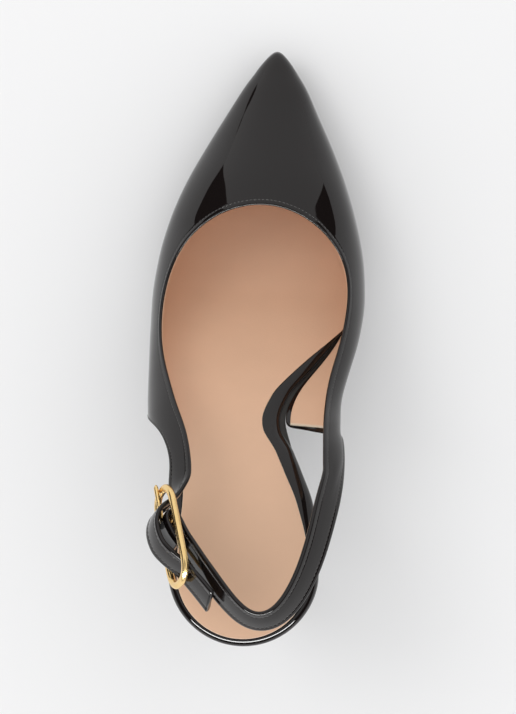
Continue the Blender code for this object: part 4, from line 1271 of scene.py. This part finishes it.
def framePath(count):
    halfLength = (buckle["length"] - buckle["bar"]) / 2.0
    halfHeight = (buckle["height"] - buckle["bar"]) / 2.0
    radius = buckle["round"] - buckle["bar"] / 2.0
    turn = np.linspace(0.0, math.pi / 2.0, 40)
    level = np.zeros(len(turn))
    corners = []
    for corner, (signX, signY) in enumerate(((1, 1), (-1, 1), (-1, -1), (1, -1))):
        angle = turn + corner * math.pi / 2.0
        corners.append(np.stack((signX * (halfLength - radius) + radius * np.cos(angle),
                                 signY * (halfHeight - radius) + radius * np.sin(angle), level), axis=1))
    line = np.vstack(corners + [corners[0][:1]])
    length = walked(line)
    return sampled(line, length, np.linspace(0.0, length[-1], count, endpoint=False))


framePoints = eased(framePath(260), easing["buckleFrame"], 1.0, True)
frameRings = sweep(inBuckle(framePoints), buckleOut, buckle["bar"] * buckle["barWide"],
                   buckle["bar"] * buckle["barThick"], True, 2.2, 24)
shown("buckleFrame", ringMesh("buckleFrame", frameRings, closed=True), gold, ("buckle_frame",))

# The centre bar runs a little into the frame's bar at both ends
centreBar = {"into": 0.0004, "points": 24}
reach = buckle["height"] / 2.0 - buckle["bar"] + centreBar["into"]
along = np.linspace(-reach, reach, centreBar["points"])
barPoints = np.stack((np.full(len(along), buckle["centreAt"]), along, np.zeros(len(along))), axis=1)
barRings = sweep(inBuckle(barPoints), buckleOut, buckle["centreBar"], buckle["centreBar"], False, 2.0)
shown("centreBar", ringMesh("centreBar", barRings), gold, ("buckle_bar",))

# The prong: an eye round the centre bar, a straight shank and a tip that rests on the frame.
# from and to: degrees of the eye's turn. shankAt: share of the way from the bar to the frame.
prong = {
    "from": -40.0,
    "to": -270.0,
    "eyePoints": 12,
    "steps": 12,
    "lowest": 1.05,
    "shankAt": 0.4,
    "shankRise": 1.02,
    "above": 0.0001,
    "tipFall": 0.90,
    "taperPoints": 8,
    "taperEnd": 0.08,
}
eye = (buckle["centreBar"] + buckle["prong"]) / 2.0 + last["gap"]
front = (buckle["length"] - buckle["bar"]) / 2.0
rest = (buckle["bar"] + buckle["prong"]) / 2.0 + prong["above"]
eyeTurn = np.radians(np.linspace(prong["from"], prong["to"], prong["eyePoints"]))
prongKnots = np.stack((buckle["centreAt"] + eye * np.cos(eyeTurn), np.zeros(len(eyeTurn)),
                       eye * np.sin(eyeTurn)), axis=1)
prongKnots = np.vstack((prongKnots, [
    (buckle["centreAt"] + prong["shankAt"] * (front - buckle["centreAt"]), 0.0, eye * prong["shankRise"]),
    (front, 0.0, rest),
    (front + buckle["bar"], 0.0, rest * prong["tipFall"]),
]))
prongLine = dense(prongKnots, prong["steps"])
prongLine[:, 2] = np.maximum(prongLine[:, 2], -eye * prong["lowest"])
taper = np.ones(len(prongLine))
taper[-prong["taperPoints"]:] = np.sqrt(np.linspace(1.0, prong["taperEnd"], prong["taperPoints"]))
girth = buckle["prong"] * taper
prongRings = sweep(inBuckle(prongLine), buckleAcross, girth, girth, False, 2.0, 16)
shown("prongPin", ringMesh("prongPin", prongRings), gold, ("prong",))
print("stage: buckle")


# Rows of thread along the open edges. margin: ribs left bare at a row's ends. openFrom: level of a
# rib's foot from which its lower edge is open and sewn.
stitch = {
    "pitch": 0.00160,
    "length": 0.00120,
    "radius": 0.00022,
    "sink": 0.00004,
    "probe": 0.0003,
    "sides": 8,
    "margin": 6,
    "openFrom": 0.12,
}

# Along one stitch: place as a share of its half length, girth as a share of its radius
capsule = named("place girth", [
    (-1.00, 0.12), (-0.86, 0.62), (-0.50, 0.95), (0.00, 1.00), (0.50, 0.95), (0.86, 0.62), (1.00, 0.12),
])


def stitchRow(line, normal):
    # Capsules of thread in a row with gaps between them, in rings of points: r (cos t side + sin t out)
    length = walked(line)
    count = int(length[-1] / stitch["pitch"])
    wanted = (np.arange(count) + 0.5) * length[-1] / count
    middle = sampled(line, length, wanted)
    out = unit(sampled(normal, length, wanted))
    following = sampled(line, length, wanted + stitch["probe"])
    ahead = unit(following - sampled(line, length, wanted - stitch["probe"]))
    out = unit(out - ahead * np.sum(out * ahead, axis=1, keepdims=True))
    side = np.cross(out, ahead)
    turn = np.linspace(0.0, 2.0 * math.pi, stitch["sides"], endpoint=False)[None, :, None]
    ring = (np.cos(turn) * side[:, None, :] + np.sin(turn) * out[:, None, :]) * stitch["radius"]
    forward = (capsule["place"] * stitch["length"] / 2.0)[None, :, None, None]
    girth = capsule["girth"][None, :, None, None]
    body = middle[:, None, None, :] + ahead[:, None, None, :] * forward + ring[:, None, :, :] * girth
    return body.reshape(count, -1, 3)


def threadRow(row, chosen):
    normal = outerNormals[chosen, rows[row]]
    return stitchRow(outerFace[chosen, rows[row]] - normal * stitch["sink"], normal)


openLow = np.concatenate((np.ones(first), ribLevel, np.ones(len(whole) - final))) > stitch["openFrom"]
toeIndex = first + len(lateralRibs[0])
margin = stitch["margin"]
lateralOpen = np.nonzero(openLow[:toeIndex])[0]
medialOpen = toeIndex + np.nonzero(openLow[toeIndex:])[0]
threadPoints = np.concatenate((
    threadRow("stitchTop", index[margin:-margin]),
    threadRow("stitchLow", lateralOpen[margin:]),
    threadRow("stitchLow", medialOpen[:-margin])))
spots = len(capsule["place"])
sides = stitch["sides"]
single = tubeFaces(spots, sides)[:, ::-1]
count = len(threadPoints)
offsets = (np.arange(count) * spots * sides)[:, None, None]
quads = (single[None] + offsets).reshape(-1, 4)
ends = np.stack((np.arange(sides)[::-1], (spots - 1) * sides + np.arange(sides)))
caps = (ends[None] + offsets).reshape(-1, sides)
threadMesh = addMesh("thread", threadPoints.reshape(-1, 3), [quads, caps])
shown("edgeThread", threadMesh, threadBlack)
print("stage: thread,", count, "stitches")

# The pale floor, a hair under the shoe
ground = {"reach": 6.0, "height": -0.00005, "color": (0.86, 0.86, 0.865), "roughness": 0.85, "level": 0.2}
floorCorners = [(sideways * ground["reach"], ahead * ground["reach"], ground["height"])
                for sideways, ahead in ((-1, -1), (1, -1), (1, 1), (-1, 1))]
floorMesh = addMesh("floor", floorCorners, [np.array([[0, 1, 2, 3]])])
floor = linked("floor", floorMesh)
floorFinish = newMaterial("paleFloor", ground["color"], ground["roughness"], level=ground["level"])[0]
floor.data.materials.append(floorFinish)

# Soft studio light. Reflections see a bright dome that ends in dark gaps low on both sides and
# behind the heel, and is dimmer overhead. All other rays see an even light, the camera a pale wall.
world = bpy.data.worlds.new("studio")
bpy.context.scene.world = world
world.use_nodes = True
nodes = world.node_tree.nodes
links = world.node_tree.links
nodes.clear()


def reckon(kind, first, second):
    node = nodes.new("ShaderNodeMath")
    node.operation = kind
    for socket, value in zip(node.inputs, (first, second)):
        if isinstance(value, (int, float)):
            socket.default_value = value
        else:
            links.new(value, socket)
    return node.outputs[0]


def ranged(value, low, high, newLow, newHigh):
    # A smooth step of a value from one range to another
    node = nodes.new("ShaderNodeMapRange")
    node.interpolation_type = "SMOOTHSTEP"
    for name, limit in zip(("From Min", "From Max", "To Min", "To Max"), (low, high, newLow, newHigh)):
        node.inputs[name].default_value = limit
    links.new(value, node.inputs["Value"])
    return node.outputs["Result"]


# left, right and heelwards: slopes under which the dome is dark on that side. toFrom, leftTo and
# rightTo: how far towards the toe the side gaps reach. toewards: how steeply they end there.
# slope: how much its right side is dimmer.
dome = {
    "left": 0.85,
    "right": 0.50,
    "heelwards": 0.80,
    "toewards": 6.0,
    "toFrom": 0.30,
    "leftTo": 0.50,
    "rightTo": 0.36,
    "soft": 0.05,
    "light": 1.0,
    "dark": 0.01,
    "slope": 0.10,
    "topFrom": 0.86,
    "topFull": 0.95,
    "top": 0.25,
    "even": 1.0,
    "wall": (0.93, 0.93, 0.935),
}
direction = nodes.new("ShaderNodeTexCoord").outputs["Generated"]
split = nodes.new("ShaderNodeSeparateXYZ")
links.new(direction, split.inputs[0])
x, y, z = split.outputs
leftward = reckon("MAXIMUM", reckon("MULTIPLY", x, -1.0), 0.0)
rightward = reckon("MAXIMUM", x, 0.0)
heelward = reckon("MAXIMUM", reckon("MULTIPLY", y, -1.0), 0.0)
leftPart = reckon("MULTIPLY", leftward, dome["left"])
rightPart = reckon("MULTIPLY", rightward, dome["right"])
backPart = reckon("MULTIPLY", heelward, dome["heelwards"])
leftReach = reckon("MULTIPLY", leftward, dome["leftTo"])
rightReach = reckon("MULTIPLY", rightward, dome["rightTo"])
gapReach = reckon("ADD", reckon("ADD", leftReach, rightReach), dome["toFrom"])
beyond = reckon("MAXIMUM", reckon("SUBTRACT", y, gapReach), 0.0)
frontPart = reckon("MULTIPLY", beyond, dome["toewards"])
gaps = reckon("ADD", leftPart, reckon("ADD", rightPart, backPart))
above = reckon("SUBTRACT", reckon("ADD", z, frontPart), gaps)
edge = ranged(above, 0.0, dome["soft"], dome["dark"], dome["light"])
overhead = ranged(z, dome["topFrom"], dome["topFull"], 1.0, dome["top"])
tilt = reckon("SUBTRACT", 1.0, reckon("MULTIPLY", x, dome["slope"]))
shaded = reckon("MULTIPLY", edge, overhead)
lightValue = reckon("MULTIPLY", shaded, tilt)
rays = nodes.new("ShaderNodeLightPath")
seen = rays.outputs["Is Camera Ray"]
mirrored = rays.outputs["Is Glossy Ray"]
fromDome = reckon("MULTIPLY", lightValue, mirrored)
fromEven = reckon("MULTIPLY", reckon("SUBTRACT", 1.0, mirrored), dome["even"])
background = nodes.new("ShaderNodeBackground")
links.new(reckon("ADD", fromDome, fromEven), background.inputs["Color"])
pale = nodes.new("ShaderNodeBackground")
pale.inputs["Color"].default_value = (*dome["wall"], 1.0)
mix = nodes.new("ShaderNodeMixShader")
links.new(seen, mix.inputs[0])
links.new(background.outputs[0], mix.inputs[1])
links.new(pale.outputs[0], mix.inputs[2])
output = nodes.new("ShaderNodeOutputWorld")
links.new(mix.outputs[0], output.inputs["Surface"])


def softLight(name, size, power, spot, target, glossy, diffuse=True):
    light = bpy.data.lights.new(name, "AREA")
    light.shape = "DISK"
    light.size = size
    light.energy = power
    lamp = linked(name, light)
    away = np.array(spot) - np.array(target)
    lamp.location = spot
    heading = math.atan2(away[1], away[0])
    lamp.rotation_euler = (0.0, math.acos(away[2] / np.linalg.norm(away)), heading)
    lamp.visible_glossy = glossy
    lamp.visible_diffuse = diffuse
    lamp.visible_camera = False
    return lamp


# A broad key light that reflections don't see, and a strip behind the heel that only they see
softLight("keyLight", 1.4, 9.0, (-1.6, 0.7, 2.4), (0.0, 0.0, 0.03), False)
edgeLight = softLight("edgeLight", 0.30, 80.0, (0.0, -1.25, 0.85), (0.0, 0.0, 0.05), True, False)
edgeLight.data.shape = "RECTANGLE"
edgeLight.data.size_y = 2.6

# The camera: one metre over the floor and a little beside the shoe, tilted towards it. toeIn,
# tiltSide and tiltAlong: degrees.
shot = {
    "x": 0.0560,
    "y": -0.0029,
    "z": 1.0,
    "toeIn": 2.60,
    "tiltSide": 3.24,
    "tiltAlong": -0.14,
    "lens": 124.1,
    "sensor": 36.0,
}
cameraData = bpy.data.cameras.new("camera")
cameraData.lens = shot["lens"]
cameraData.sensor_width = shot["sensor"]
cameraData.clip_start = 0.01
cameraData.clip_end = 50.0
camera = linked("camera", cameraData)
camera.location = (shot["x"], shot["y"], shot["z"])
camera.rotation_euler = [math.radians(shot[name]) for name in ("tiltAlong", "tiltSide", "toeIn")]
bpy.context.scene.camera = camera
bpy.context.scene.view_settings.view_transform = "Standard"
print("stage: light and camera")
